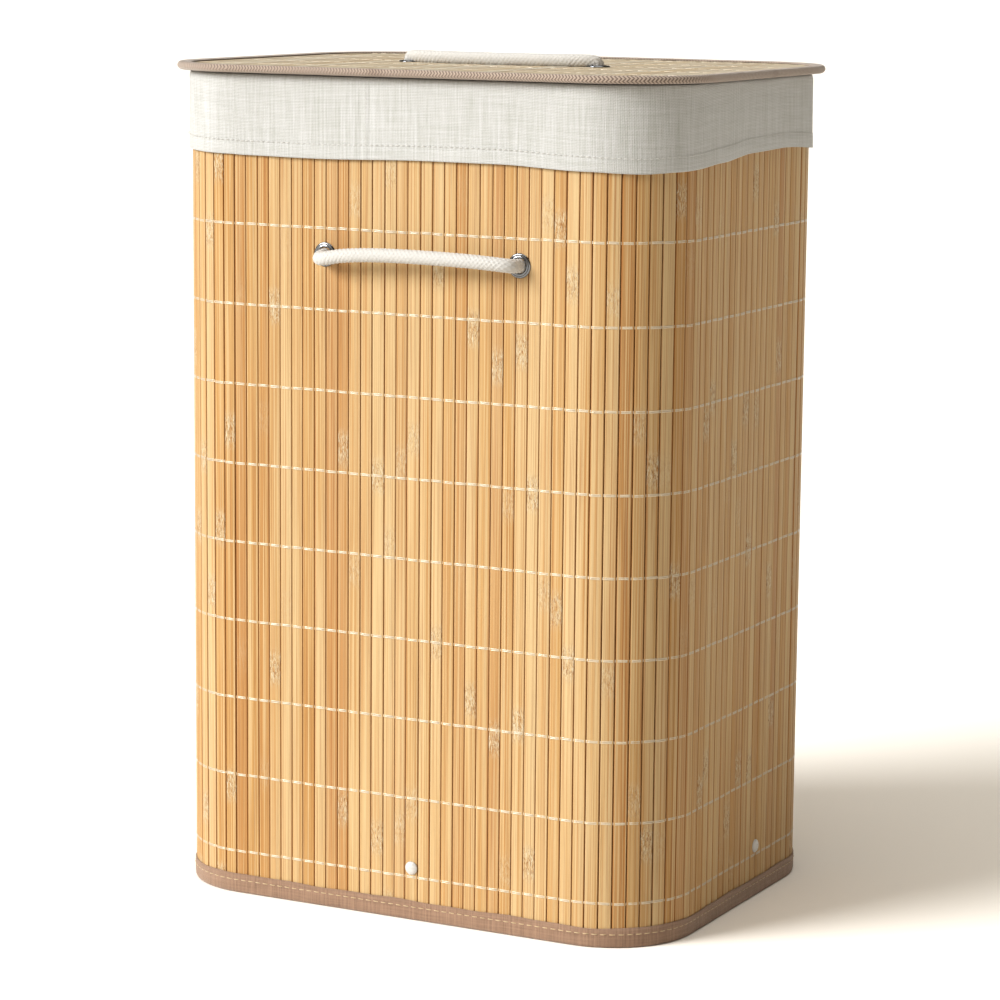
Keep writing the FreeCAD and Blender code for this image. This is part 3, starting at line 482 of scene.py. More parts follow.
THREAD, tree, shader = finish("weft_thread", Roughness=0.3, IOR=1.55, Coat_Weight=1.0, Coat_Roughness=0.2)
shade = blotch(tree, on_piece(tree), (900.0, 900.0, 900.0), detail=2.0)
dress(tree, shader, mix(tree, shade, paint("f3dab2"), paint("fff1d8")), height=shade, depth=0.0001)
ROW_PITCH = 0.05767
threads = grow(
    THREAD_TREE,
    wall_spots,
    {"Rows": 10, "First": 0.0308, "Pitch": ROW_PITCH, "Width": SLAT_WIDTH, "Strand": 0.0005, "Dive": 0.0016,
     "Seed": 5, "Finish": THREAD},
)
piece("weft_threads", threads, "basket", "thread", "weft_threads")


# ------------------------------------------------------------------ wall lining
# A brown non-woven cloth glued to the inside of the slats. It closes the gaps between them and keeps the mat
# together when it bends.

# plain weave: warp and weft pass over each other in turn, and both have thick and thin places
WEAVE, given, leave = effect(
    "plain_weave",
    {"Flat": "Vector", "Warp": "Float", "Weft": "Float", "Slub": "Float"},
    {"Height": "Float", "Shade": "Float"},
)
cloth = vector_maths(WEAVE, "SCALE", given["Flat"], 1000.0)
wander = node(WEAVE, "ShaderNodeTexNoise", {"Vector": cloth, "Scale": 0.23, "Detail": 2.0}, out="Color")
cloth = vector_maths(WEAVE, "ADD", cloth, vector_maths(WEAVE, "SCALE", wander, 0.5))
across, up, _ = split(WEAVE, cloth)
warp_wave = maths(WEAVE, "SINE", times(WEAVE, maths(WEAVE, "DIVIDE", across, given["Warp"]), math.pi))
weft_wave = maths(WEAVE, "SINE", times(WEAVE, maths(WEAVE, "DIVIDE", up, given["Weft"]), math.pi))
over = maths(WEAVE, "GREATER_THAN", times(WEAVE, warp_wave, weft_wave), 0.0)
warp_high, weft_high = size(WEAVE, warp_wave), size(WEAVE, weft_wave)
warp_top = times(WEAVE, warp_high, maths(WEAVE, "MULTIPLY_ADD", weft_high, 0.45, 0.55))
weft_top = times(WEAVE, weft_high, maths(WEAVE, "MULTIPLY_ADD", warp_high, 0.45, 0.55))
raised = node(WEAVE, "ShaderNodeMix", {0: over, 2: weft_top, 3: warp_top})
thick_warp = blotch(WEAVE, cloth, (0.62, 0.02, 0.0), detail=3.0, rough=0.7)
thick_weft = blotch(WEAVE, cloth, (0.02, 0.62, 0.0), detail=3.0, rough=0.7)
slubs = maths(WEAVE, "SUBTRACT", maths(WEAVE, "MULTIPLY_ADD", thick_weft, 0.6, thick_warp), 0.8)
uneven = times(WEAVE, slubs, times(WEAVE, given["Slub"], 2.2))
shade = maths(WEAVE, "ADD", maths(WEAVE, "MULTIPLY_ADD", raised, 0.55, 0.3), uneven, clamp=True)
WEAVE.links.new(shade, leave.inputs["Shade"])
WEAVE.links.new(maths(WEAVE, "MULTIPLY_ADD", uneven, 0.8, raised), leave.inputs["Height"])


def cloth_finish(name, warp, weft, slub, low, high, rough=0.9, sheen=0.25, depth=0.00018):
    """A woven cloth that reads the piece's own map; warp and weft are the threads' widths in millimetres."""
    made, tree, shader = finish(name, Roughness=rough, Sheen_Weight=sheen, Sheen_Roughness=0.5)
    flat = node(tree, "ShaderNodeUVMap", uv_map="cloth")
    out = use_effect(tree, WEAVE, Flat=flat, Warp=warp, Weft=weft, Slub=slub)
    dress(tree, shader, mix(tree, out["Shade"], paint(low), paint(high)), height=out["Height"], depth=depth)
    return made


def plan_runs(straight=0.012, turns=12):
    """Runs all the way round, close together in the corners."""
    runs, start = [], 0.0
    for side in range(4):
        wall = 2 * (HALF_LONG, HALF_SHORT)[side % 2]
        steps = max(1, round(wall / straight))
        runs += [start + wall * i / steps for i in range(steps)]
        start += wall
        runs += [start + QUARTER * i / turns for i in range(turns)]
        start += QUARTER
    return runs


def smooth_share(value, low, high):
    """How far a value is from one level to another, held at the ends and smooth between them."""
    share = min(max((value - low) / (high - low), 0.0), 1.0)
    return share * share * (3 - 2 * share)


def with_lengths(spots):
    """A section's (offset, height) points, each with the cloth's length up to it."""
    made, length = [], 0.0
    for i, spot in enumerate(spots):
        if i:
            length += math.dist(spots[i - 1], spot)
        made.append((*spot, length))
    return made


def around(name, profile, runs, thickness, material):
    """A cloth that follows the plan; profile(run) gives (offset, height, length along the cloth)."""
    mesh = bpy.data.meshes.new(name)
    lines = [profile(run) for run in runs]
    total, deep = len(runs), len(lines[0])
    places = [outside(run, offset, height) for run, line in zip(runs, lines) for offset, height, _ in line]
    faces, flat = [], []
    for i in range(total):
        ahead, far = (i + 1) % total, runs[(i + 1) % total] + (PLAN_RUN if i + 1 == total else 0)
        for j in range(deep - 1):
            below = j + 1
            faces.append((i * deep + j, i * deep + below, ahead * deep + below, ahead * deep + j))
            marks = (lines[i][j][2], lines[i][below][2], lines[ahead][below][2], lines[ahead][j][2])
            flat += [(runs[i], marks[0]), (runs[i], marks[1]), (far, marks[2]), (far, marks[3])]
    mesh.from_pydata(places, [], faces)
    layer = mesh.uv_layers.new(name="cloth")
    for item, spot in zip(layer.data, flat):
        item.uv = spot
    mesh.polygons.foreach_set("use_smooth", [True] * len(faces))
    mesh.materials.append(material)
    return thicken(mesh, thickness)


def thicken(mesh, thickness):
    """The mesh with a thickness, half on each side; no thickness leaves it a single skin."""
    holder = bpy.data.objects.new("holder", mesh)
    bpy.context.scene.collection.objects.link(holder)
    if thickness:
        solid = holder.modifiers.new("thick", "SOLIDIFY")
        solid.thickness, solid.offset = thickness, 0.0
    ready = holder.evaluated_get(bpy.context.evaluated_depsgraph_get())
    made = bpy.data.meshes.new_from_object(ready)
    bpy.data.objects.remove(holder)
    return made


LINING = cloth_finish("brown_lining", 0.9, 0.9, 0.5, "a8601f", "d08a3c")


def lining_line(run):
    wave = 0.00012 * math.sin(run * 190)
    levels = [0.5957 * i / 6 for i in range(7)]
    return [(-0.0027 + wave, 0.0011 + level, level) for level in levels]


lining = around("wall_lining", lining_line, plan_runs(), 0.0006, LINING)
lining = piece("wall_lining", lining, "basket", "lining", "wall_lining")


# ------------------------------------------------------------------ edge tapes
# Taupe woven tape folded round the mat's lower and upper edges and sewn through with one line of cream
# stitches. The hamper stands on the lower one.

TAPE = cloth_finish("taupe_tape", 0.85, 0.8, 0.6, "87674e", "d6b093", 0.85, 0.3, 0.0003)


def tape_line(outer, inner, low, high, fold_low):
    """The section of a folded tape: down the outside, round the fold and up the inside, or the reverse."""
    def line(run):
        ripple = 0.00035 * math.sin(run * 61) + 0.00025 * math.sin(run * 143 + 1)
        bulge = 0.00012 * math.sin(run * 97 + 2)
        bend = 0.0012
        fold, open_end = (low, high) if fold_low else (high, low)
        sign = 1 if fold_low else -1
        spots = [(outer, open_end + ripple * sign)]
        spots += [(outer + bulge, open_end + (fold - open_end) * share) for share in (0.3, 0.6)]
        bends = ((0.0, 1.6), (0.4, 0.4), (1.4, 0.0))
        spots += [(outer - bend * way, fold + bend * rise * sign) for way, rise in bends]
        spots += [(inner + bend * way, fold + bend * rise * sign) for way, rise in reversed(bends)]
        spots += [(inner, (open_end + fold) / 2), (inner, open_end - ripple * sign)]
        return with_lengths(spots)
    return line


TAPE_THICK = 0.0007
for name, line, step, flat_size in (
    ("bottom_binding", tape_line(0.0006, -0.00375, 0.00035, 0.0142, True), 0.008, (1.285, 0.032)),
    ("top_binding", tape_line(0.0006, -0.00805, 0.5838, 0.59765, False), 0.012, (1.275, 0.036)),
):
    tape = piece(name, around(name, line, plan_runs(step), TAPE_THICK, TAPE), "basket", "tape", name)

# the same small piece set on many spots, each copy turned a little its own way
COPY_TREE, given = geometry_tree("copies", {"Piece": "Object", "Shaky Turn": "Vector", "Seed": "Int"})
part = node(COPY_TREE, "GeometryNodeObjectInfo", {"Object": given["Piece"]}, out="Geometry")
opposite = vector_maths(COPY_TREE, "SCALE", given["Shaky Turn"], -1.0)
shake = between(COPY_TREE, opposite, given["Shaky Turn"], given["Seed"])
turned = vector_maths(COPY_TREE, "ADD", named(COPY_TREE, "turn", "FLOAT_VECTOR"), shake)
copies = {"Points": given["Points"], "Instance": part, "Rotation": turned}
copies = node(COPY_TREE, "GeometryNodeInstanceOnPoints", copies)
end_tree(COPY_TREE, copies, given["Finish"])


def mesh_of(shape, name, all_smooth=True):
    """The finished mesh of a shape, with its faces turned outwards."""
    bmesh.ops.recalc_face_normals(shape, faces=shape.faces)
    mesh = bpy.data.meshes.new(name)
    shape.to_mesh(mesh)
    shape.free()
    if all_smooth:
        mesh.polygons.foreach_set("use_smooth", [True] * len(mesh.polygons))
    return mesh


def lathe(profile, steps):
    """A turned piece about its own Y: the profile's points are (radius, height towards the viewer)."""
    shape = bmesh.new()
    rings = []
    for radius, out in profile:
        if radius < 1e-7:
            rings.append([shape.verts.new((0, -out, 0))])
            continue
        turns = [2 * math.pi * i / steps for i in range(steps)]
        rings.append([shape.verts.new((radius * math.cos(a), -out, radius * math.sin(a))) for a in turns])
    for near, far in zip(rings, rings[1:]):
        for i in range(steps):
            corners = [near[i % len(near)], near[(i + 1) % len(near)]]
            corners += [far[(i + 1) % len(far)], far[i % len(far)]]
            corners = list(dict.fromkeys(corners))
            if len(corners) > 2:
                shape.faces.new(corners)
    return mesh_of(shape, "turned")


def copies_of(mesh, spots, material, shaky=(0, 0, 0), seed=1):
    """One mesh of the same piece set on every spot."""
    pattern = bpy.data.objects.new("pattern", mesh)
    bpy.context.scene.collection.objects.link(pattern)
    made = grow(COPY_TREE, spots, {"Piece": pattern, "Shaky Turn": shaky, "Seed": seed, "Finish": material})
    bpy.data.objects.remove(pattern)
    return made


def stitch(length, thick):
    """One stitch: a thread that lies on the cloth, its ends drawn in."""
    rings, shape = [], bmesh.new()
    angles = [math.pi * (i + 0.5) / 3 for i in range(6)]
    sections = ((-0.5, 0.3, -0.5), (-0.38, 0.9, 0.1), (0, 1, 0.45), (0.38, 0.9, 0.1), (0.5, 0.3, -0.5))
    for share, full, rise in sections:
        rings.append([
            shape.verts.new((
                share * length,
                -thick * (rise + 0.35 * full * math.cos(angle)),
                0.5 * thick * full * math.sin(angle),
            ))
            for angle in angles
        ])
    for near, far in zip(rings, rings[1:]):
        for i in range(6):
            shape.faces.new((near[i], near[(i + 1) % 6], far[(i + 1) % 6], far[i]))
    for end in (rings[0], rings[-1]):
        shape.faces.new(end)
    return mesh_of(shape, "stitch")


def stitch_spots(pitch, offset, height):
    """Spots all round the plan for a line of stitches; height may be a function of the run."""
    total = round(PLAN_RUN / pitch)
    spots = []
    for i in range(total):
        run = PLAN_RUN * i / total
        level = height(run) if callable(height) else height
        facing = on_plan(run)[1] + math.pi / 2
        spots.append((outside(run, offset, level), {"turn": (0.0, 0.0, facing)}))
    return spots


CREAM, tree, shader = finish("cream_stitches", Roughness=0.5, Sheen_Weight=0.3)
speckle = blotch(tree, on_piece(tree), (700.0, 700.0, 2500.0))
dress(tree, shader, mix(tree, speckle, paint("e2bc84"), paint("fbe8c4")), height=speckle, depth=0.0001)
seam = copies_of(stitch(0.0046, 0.0007), stitch_spots(0.0062, 0.00095, 0.0099), CREAM, (0, 0.05, 0), 2)
piece("bottom_stitches", seam, "basket", "thread")


# ------------------------------------------------------------------ wire frames, clips and rivets
# Two closed frames of 4 mm galvanised wire: one in the top tape, one near the floor in four plastic saddle
# clips. A white snap rivet holds each clip through the wall.


def speckled(name, low, high, rough, grain=400.0, depth=0.00006, **sockets):
    """A moulded or rolled surface: fine uneven colour, gloss and relief."""
    made, tree, shader = finish(name, **sockets)
    speck = blotch(tree, on_piece(tree), (grain, grain, grain), detail=4.0)
    uneven = maths(tree, "MULTIPLY_ADD", speck, 0.22, rough - 0.11)
    dress(tree, shader, mix(tree, speck, paint(low), paint(high)), uneven, speck, depth)
    return made


def coat(material, *nodes):
    """Gives CAD nodes that stay in sight their finish."""
    for name in nodes:
        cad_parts[name].data.materials.clear()
        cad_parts[name].data.materials.append(material)


coat(speckled("galvanised_wire", "8f9092", "c2c3c4", 0.38, Metallic=1.0), "rim_wire", "base_wire", "lid_wire")
coat(speckled("clip_plastic", "d8d6cf", "e8e6e0", 0.42), *[f"{side}_wire_clip" for side in SIDES])

RIVET = speckled("rivet_plastic", "f2f0ea", "ffffff", 0.3, IOR=1.5, Coat_Weight=0.3)
RIVET_HEIGHT = 0.0382
dome = [(0.0, 0.0022), (0.0015, 0.00214), (0.0029, 0.00185), (0.004, 0.00135), (0.0047, 0.0008),
        (0.005, 0.0003)]
shank = [(0.0049, 0.00008), (0.0015, 0.00008), (0.0015, -0.0048), (0.003, -0.0048), (0.003, -0.0056),
         (0.0026, -0.0058), (0.0, -0.0058)]
rivet_places = ((0.0098, -BACK_FACE), (SIDE_FACE, 0.0274), (-0.0098, BACK_FACE), (-SIDE_FACE, -0.0274))
rivet_spots = [
    ((*place, RIVET_HEIGHT), {"turn": (0.0, 0.0, quarter * math.pi / 2)})
    for quarter, place in enumerate(rivet_places)
]
rivets = copies_of(lathe(dome + shank, 24), rivet_spots, RIVET)
piece("rivets", rivets, "basket", "rivet_plastic", *[f"{side}_rivet" for side in SIDES])

# the stiff board that lies on the clips, covered in cloth
coat(speckled("covered_board", "b9b09a", "d3cbb6", 0.8, 900.0, 0.0003), "base_board")


# ------------------------------------------------------------------ liner
# A bag of slubby off-white linen cloth. It hangs inside the mat, goes over the rim and comes down outside as
# a cuff with a stitched hem; one upright seam shows on the front.

LINEN = cloth_finish("linen", 1.15, 1.05, 0.6, "c8c9be", "ffffff", 0.92, 0.3, 0.00035)
SEAM_RUN, RIM_TOP = 0.109, 0.5975
marks = ((0.0, 0.5424), (0.007, 0.5420), (0.0685, 0.5416), (0.1576, 0.5432), (0.2123, 0.5432), (0.2765, 0.5408),
         (0.3185, 0.5395), (0.3408, 0.5405), (0.40, 0.5440), (0.4513, 0.5480), (0.5078, 0.5490), (0.60, 0.5445),
         (0.70, 0.5418), (0.80, 0.5432), (0.90, 0.5440), (0.98, 0.5415), (1.10, 0.5428), (1.20, 0.5444),
         (PLAN_RUN, 0.5424))


def hem_height(run):
    """Where the cuff's lower edge hangs."""
    run %= PLAN_RUN
    for (start, low), (end, high) in zip(marks, marks[1:]):
        if run <= end:
            return low + (high - low) * smooth_share(run, start, end)
    return marks[0][1]


def liner_line(run):
    """The liner's section, from the hem over the rim and down to the middle of the floor."""
    low = hem_height(run)
    angle = 2 * math.pi * run / PLAN_RUN
    ring = Vector((math.cos(angle), math.sin(angle), 0.0))

    def ripple(fine, level, seed):
        return noise.noise(Vector((ring.x * fine, ring.y * fine, level * 14 + seed)))

    spots = []
    for share in (0.0, 0.02, 0.1, 0.17, 0.2, 0.23, 0.35, 0.5, 0.65, 0.8, 0.9, 0.97):
        height = low + (RIM_TOP - low) * share
        loose = 0.0011 * (1 - share) + 0.00025
        offset = 0.00185 + loose * 0.6 * ripple(5.0, height, 0.0) + 0.0004 * ripple(17.0, height, 3.0)
        offset = max(offset, 0.0013)
        if share < 0.19:
            offset += 0.00035
        if abs(run - SEAM_RUN) < 0.003:
            offset += 0.0003
        spots.append((offset, height))
    for turn in (20, 50, 75):
        angle = math.radians(turn)
        spots.append((-0.0002 + 0.0017 * math.cos(angle), 0.5972 + 0.0017 * math.sin(angle)))
    spots += [(-0.003, 0.5989), (-0.0065, 0.5989), (-0.0086, 0.5984), (-0.0093, 0.597), (-0.0094, 0.5925)]
    # inside, the bag hangs straight at the top and slack with loose folds further down
    for level in (0.585, 0.575, 0.56, 0.545, 0.53, 0.51, 0.48, 0.44, 0.39,
                  0.33, 0.27, 0.21, 0.16, 0.12, 0.09, 0.07, 0.06):
        drawn = smooth_share(level, 0.592, 0.52)
        depth = -0.0094 - 0.0142 * drawn
        slack = smooth_share(level, 0.59, 0.35) * smooth_share(level, 0.05, 0.12)
        fold = ripple(3.2, level * 0.25, 9.0) * 1.3 + ripple(8.0, level * 0.4, 20.0) * 0.55
        spots.append((depth - slack * (0.004 + 0.006 * fold), level))
    spots += [(-0.0262, 0.0555), (-0.031, 0.0536), (-0.045, 0.0533)]
    return with_lengths(spots)


seam_runs = [SEAM_RUN + side for side in (-0.0035, -0.0025, 0.0, 0.0025, 0.0035)]
liner_runs = sorted(set(plan_runs(0.007, 14) + seam_runs))
liner_mesh = around("liner_cloth", liner_line, liner_runs, 0, LINEN)
# the bag's floor: one cloth sewn in, a little slack
shape = bmesh.new()
shape.from_mesh(liner_mesh)
rim = [edge for edge in shape.edges if edge.is_boundary and edge.verts[0].co.z < 0.06]
floor_faces = bmesh.ops.holes_fill(shape, edges=rim, sides=0)["faces"]
flat_map = shape.loops.layers.uv["cloth"]
for face in floor_faces:
    face.smooth = True
    for corner in face.loops:
        corner[flat_map].uv = corner.vert.co.xy
bmesh.ops.recalc_face_normals(shape, faces=shape.faces)
shape.to_mesh(liner_mesh)
shape.free()
liner = piece("liner_bag", thicken(liner_mesh, 0.0009), "basket", "linen", "liner_bag")

# the hem's line of stitches and the seam's needle marks
WHITE_THREAD = speckled("white_thread", "f0ede2", "ffffff", 0.7, 1500.0, 0.0001)
HEM = 0.0103
hem = stitch_spots(0.0042, 0.0029, lambda run: hem_height(run) + HEM)
seam_x = SEAM_RUN - HALF_LONG
seam = [((seam_x, -0.15245, 0.551 + 0.0034 * i), {"turn": (0.0, math.pi / 2, 0.0)}) for i in range(13)]
stitches = copies_of(stitch(0.0031, 0.0005), hem + seam, WHITE_THREAD, (0, 0.05, 0), 4)
piece("liner_stitches", stitches, "basket", "linen")


# ------------------------------------------------------------------ eyelets and knots
# Each handle goes through two chromed two-part eyelets: a domed flange with a rolled inner lip outside, and a
# washer inside, with a stopper knot behind it.

CHROME = speckled("chrome", "8b8e93", "c9ccd1", 0.16, 250.0, 0.00002, Metallic=1.0)
ring_profile = [
    (0.0052, -0.004), (0.0052, 0.0004), (0.00545, 0.00095), (0.0060, 0.0012), (0.0065, 0.00105),
    (0.0068, 0.00085), (0.0071, 0.00092), (0.0076, 0.00105), (0.0081, 0.00095), (0.0085, 0.0006),
    (0.00872, 0.0002), (0.0086, 0.00006), (0.0060, 0.00006), (0.0058, -0.004), (0.0052, -0.004),
]
eyelet = lathe(ring_profile, 40)
EYELET_HEIGHT = 0.4745
hole_spots = [
    ((x, y, EYELET_HEIGHT), {"turn": (0.0, 0.0, 0.0 if y < 0 else math.pi)})
    for x, y in ((-0.062, -BACK_FACE), (0.092, -BACK_FACE), (0.062, BACK_FACE), (-0.092, BACK_FACE))
]
LID_TOP = 0.6046
lid_hole_spots = [((x, 0.0, LID_TOP), {"turn": (-math.pi / 2, 0.0, 0.0)}) for x in (-0.077, 0.077)]
wall_eyelets = copies_of(eyelet, hole_spots, CHROME)
piece("wall_eyelets", wall_eyelets, "basket", "chrome", "front_eyelets", "back_eyelets")
piece("lid_eyelets", copies_of(eyelet, lid_hole_spots, CHROME), "lid", "chrome", "lid_eyelets")
coat(CHROME, "front_washers", "back_washers", "lid_washers")


def tube(line, radius, sides, shape, across=None, pressed=1.0):
    """A closed tube along a line, with its own map; shape(angle, length) scales its radius.

    across says where the section's angles start, and pressed flattens the section that way."""
    made = bmesh.new()
    flat = made.loops.layers.uv.new("cloth")
    side, rings, length, lengths = None, [], 0.0, []
    for i, point in enumerate(line):
        ahead = (line[min(i + 1, len(line) - 1)] - line[max(i - 1, 0)]).normalized()
        if side is None:
            side = ahead.orthogonal().normalized() if across is None else across
        side = (side - ahead * side.dot(ahead)).normalized()
        up = ahead.cross(side)
        if i:
            length += (point - line[i - 1]).length
        lengths.append(length)
        ring = []
        for k in range(sides):
            angle = 2 * math.pi * k / sides
            way = side * (math.cos(angle) * pressed) + up * math.sin(angle)
            ring.append(made.verts.new(point + way * (radius * shape(angle, length))))
        rings.append(ring)
    for i, (near, far) in enumerate(zip(rings, rings[1:])):
        for k in range(sides):
            face = made.faces.new((near[k], near[(k + 1) % sides], far[(k + 1) % sides], far[k]))
            face.smooth = True
            marks = ((k, i), (k + 1, i), (k + 1, i + 1), (k, i + 1))
            for corner, (turn, at) in zip(face.loops, marks):
                corner[flat].uv = (2 * math.pi * radius * turn / sides, lengths[at])
    for end in (rings[0], rings[-1]):
        made.faces.new(end)
    return mesh_of(made, "tube", all_smooth=False)


ROPE, tree, shader = finish("cotton_rope", Roughness=0.85, Sheen_Weight=0.5, Sheen_Roughness=0.4)
fuzz = blotch(tree, on_piece(tree), (1600.0, 1600.0, 1600.0), detail=4.0, rough=0.7)
dress(tree, shader, mix(tree, fuzz, paint("e6e1d6"), paint("ffffff")), height=fuzz, depth=0.0005)

# a stopper knot: the rope crosses itself three times and is pulled tight, its tail left short
knot_line = []
for i in range(61):
    t = 2 * math.pi * i / 64
    loop = (math.sin(t) + 2 * math.sin(2 * t), 1.15 * math.sin(3 * t) + 0.1, math.cos(t) - 2 * math.cos(2 * t))
    knot_line.append(Vector(loop) * 0.00178 + Vector((0, 0.0137, 0)))
knot = tube(knot_line, 0.0029, 10, lambda angle, length: 1 + 0.06 * math.sin(3 * angle + length * 1400))
wall_knots = copies_of(knot, hole_spots, ROPE)
piece("wall_knots", wall_knots, "basket", "rope", "front_rope_knots", "back_rope_knots")
piece("lid_knots", copies_of(knot, lid_hole_spots, ROPE), "lid", "rope", "lid_rope_knots")


# ------------------------------------------------------------------ rope handles
# White braided cotton rope, 9.5 mm thick. Each handle comes out of one eyelet, bends along the wall in a
# slight bow, and goes back through the other; its ends stay in the wall when the handle is lifted.


def braid(angle, length):
    """The surface of a braid: two sets of strands that cross over and under."""
    lean = length * 950
    over, under = 4 * angle + lean, 4 * angle - lean
    if (math.floor(over / math.pi) + math.floor(under / math.pi)) % 2 == 0:
        over, under = under, over
    loose = noise.noise(Vector((math.cos(angle) * 2, math.sin(angle) * 2, length * 900)))
    return 0.93 + 0.13 * math.sqrt(abs(math.sin(over))) * (0.55 + 0.45 * abs(math.sin(under))) + 0.02 * loose


def route_line(points):
    """Points along the smooth line that these control points draw."""
    curve = bpy.data.curves.new("route", "CURVE")
    curve.dimensions = "3D"
    spline = curve.splines.new("NURBS")
    spline.points.add(len(points) - 1)
    for item, point in zip(spline.points, points):
        item.co = (*point, 1)
    spline.order_u = 3
    spline.use_endpoint_u = True
    spline.resolution_u = 40
    holder = bpy.data.objects.new("route", curve)
    bpy.context.scene.collection.objects.link(holder)
    read = bpy.data.meshes.new_from_object(holder)
    rough_line = [vertex.co.copy() for vertex in read.vertices]
    bpy.data.objects.remove(holder)
    line = rough_line[:1]
    for place in rough_line[1:]:
        if (place - line[-1]).length > 0.0003:
            line.append(place)
    return line


ROPE_WIDE = 0.0095


def handle(name, points, across, pressed=1.0):
    """A rope on its route."""
    line = route_line(points)
    mesh = tube(line, ROPE_WIDE / 2, 56, braid, Vector(across), pressed)
    mesh.materials.append(ROPE)
    rope = piece(name, mesh, None, "rope", name)
    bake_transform(rope)


front_points = (
    (-0.062, -0.1475, 0.4742), (-0.062, -0.1535, 0.4738), (-0.0613, -0.1605, 0.4724), (-0.053, -0.1647, 0.4735),
    (-0.035, -0.1665, 0.4767), (-0.005, -0.1670, 0.4781), (0.025, -0.1670, 0.4781), (0.055, -0.1665, 0.4776),
    (0.078, -0.1648, 0.4764), (0.0895, -0.1622, 0.4752), (0.092, -0.1548, 0.4745), (0.092, -0.1475, 0.4745),
)
back_points = tuple((-x, -y, z) for x, y, z in front_points)
for name, points, out in (("front_handle_rope", front_points, -1), ("back_handle_rope", back_points, 1)):
    start, end = ((0, out * reach, EYELET_HEIGHT) for reach in (0.1505, 0.162))
    handle(name, points, (0, -out * 0.342, 0.94))
lid_points = (
    (-0.077, 0.0, 0.6020), (-0.077, -0.0002, 0.6056), (-0.0756, -0.0018, 0.6088), (-0.066, -0.0052, 0.6090),
    (-0.045, -0.0086, 0.6088), (-0.015, -0.0100, 0.6087), (0.015, -0.0100, 0.6087), (0.045, -0.0086, 0.6088),
    (0.066, -0.0052, 0.6090), (0.0756, -0.0018, 0.6088), (0.077, -0.0002, 0.6056), (0.077, 0.0, 0.6020),
)
handle("lid_handle_rope", lid_points, (0, 0, 1), 0.82)


# ------------------------------------------------------------------ lid
# Forty-two slats that run front to back over a cloth-faced board, tied with five rows of thread, with a
# woven tape sewn over the edge and its wire.

LID_HALF_X, LID_HALF_Y = 0.2064, 0.1564
LID_SLATS = 42
pitch = 2 * LID_HALF_X / LID_SLATS
lid_cuts = [
    -LID_HALF_X + pitch * i + (chance.uniform(-0.00045, 0.00045) if 0 < i < LID_SLATS else 0)
    for i in range(LID_SLATS + 1)
]
lid_slat_spots = []
for start, end in zip(lid_cuts, lid_cuts[1:]):
    facts = {
        "turn": (-math.pi / 2, 0.0, 0.0),
        "wide": end - start - chance.uniform(0.0003, 0.0006),
        "tone": chance.random(),
        "seed": chance.uniform(0, 40),
    }
    lid_slat_spots.append((((start + end) / 2, -LID_HALF_Y, LID_TOP), facts))
# painted light: the lid's cane is paler than the walls', for the stronger light that falls on the top
LID_CANE_PAINTED_TOP_LIGHT = cane_finish("lid_cane_painted_top_light", "fff8e6", "ffedca", "e8c692")
lid_mesh = grow(
    SLAT_TREE,
    lid_slat_spots,
    {"Length": 2 * LID_HALF_Y, "Width": SLAT_WIDTH, "Thickness": SLAT_THICK, "Edge Round": 0.00055,
     "Crown": 0.0001, "Trim Radius": 0.0694, "Twist": 0.0, "Seed": 8, "Finish": LID_CANE_PAINTED_TOP_LIGHT},
)
piece("lid_slats", lid_mesh, "lid", "bamboo", "lid_slats")
lid_thread_spots = [spot for spot in lid_slat_spots if abs(spot[0][0]) < 0.193]
threads = grow(
    THREAD_TREE,
    lid_thread_spots,
    {"Rows": 5, "First": -0.1009 + LID_HALF_Y, "Pitch": ROW_PITCH, "Width": SLAT_WIDTH, "Strand": 0.0004,
     "Dive": 0.0016, "Seed": 9, "Finish": THREAD},
)
piece("lid_threads", threads, "lid", "thread", "lid_threads")
coat(speckled("board_cloth", "b8b09c", "d6cfbc", 0.85, 700.0, 0.0004), "lid_backing")

EDGING, tree, shader = finish("overlocked_tape", Roughness=0.8, Sheen_Weight=0.35)
flat = vector_maths(tree, "SCALE", node(tree, "ShaderNodeUVMap", uv_map="cloth"), 1000.0)
along, across, _ = split(tree, flat)
zigzag = maths(tree, "FRACT", maths(tree, "DIVIDE", across, 3.4))
zigzag = size(tree, maths(tree, "SUBTRACT", zigzag, 0.5))
leaning = maths(tree, "MULTIPLY_ADD", zigzag, 3.6, along)
twill = size(tree, maths(tree, "SINE", times(tree, leaning, math.pi / 2.4)))
# the tape turns browner in long patches along its length
browner_patch = ramp(tree, blotch(tree, flat, (0.012, 0.0, 0.0), detail=2.0), 0.6, 0.72, 0.0, 0.7)
colour = mix(tree, twill, paint("5e4537"), paint("dcc8b6"))
colour = mix(tree, browner_patch, colour, mix(tree, 1.0, colour, paint("c08a58"), "MULTIPLY"))
dress(tree, shader, colour, height=twill, depth=0.00045)


def lid_tape_line(run):
    ripple = 0.0003 * math.sin(run * 71) + 0.0002 * math.sin(run * 157)
    spots = [(-0.0006 + ripple, 0.60505), (0.002, 0.60515), (0.0055, 0.60535)]
    for turn in (70, 45, 20, 0, -20, -45, -70):
        angle = math.radians(turn)
        spots.append((0.00805 + 0.0026 * math.cos(angle), 0.603 + 0.00262 * math.sin(angle)))
    spots += [(0.0055, 0.6004), (0.002, 0.60045), (-0.0006 - ripple, 0.60045)]
    return with_lengths(spots)


tape = around("lid_binding", lid_tape_line, plan_runs(0.008, 16), TAPE_THICK, EDGING)
tape = piece("lid_binding", tape, "lid", "tape", "lid_binding")


# ------------------------------------------------------------------ hinge tabs
# Two strips of the same tape are the hinge. Each is sewn to the back wall below the cuff and to the lid's back
# edge, and bends where the lid meets the rim.

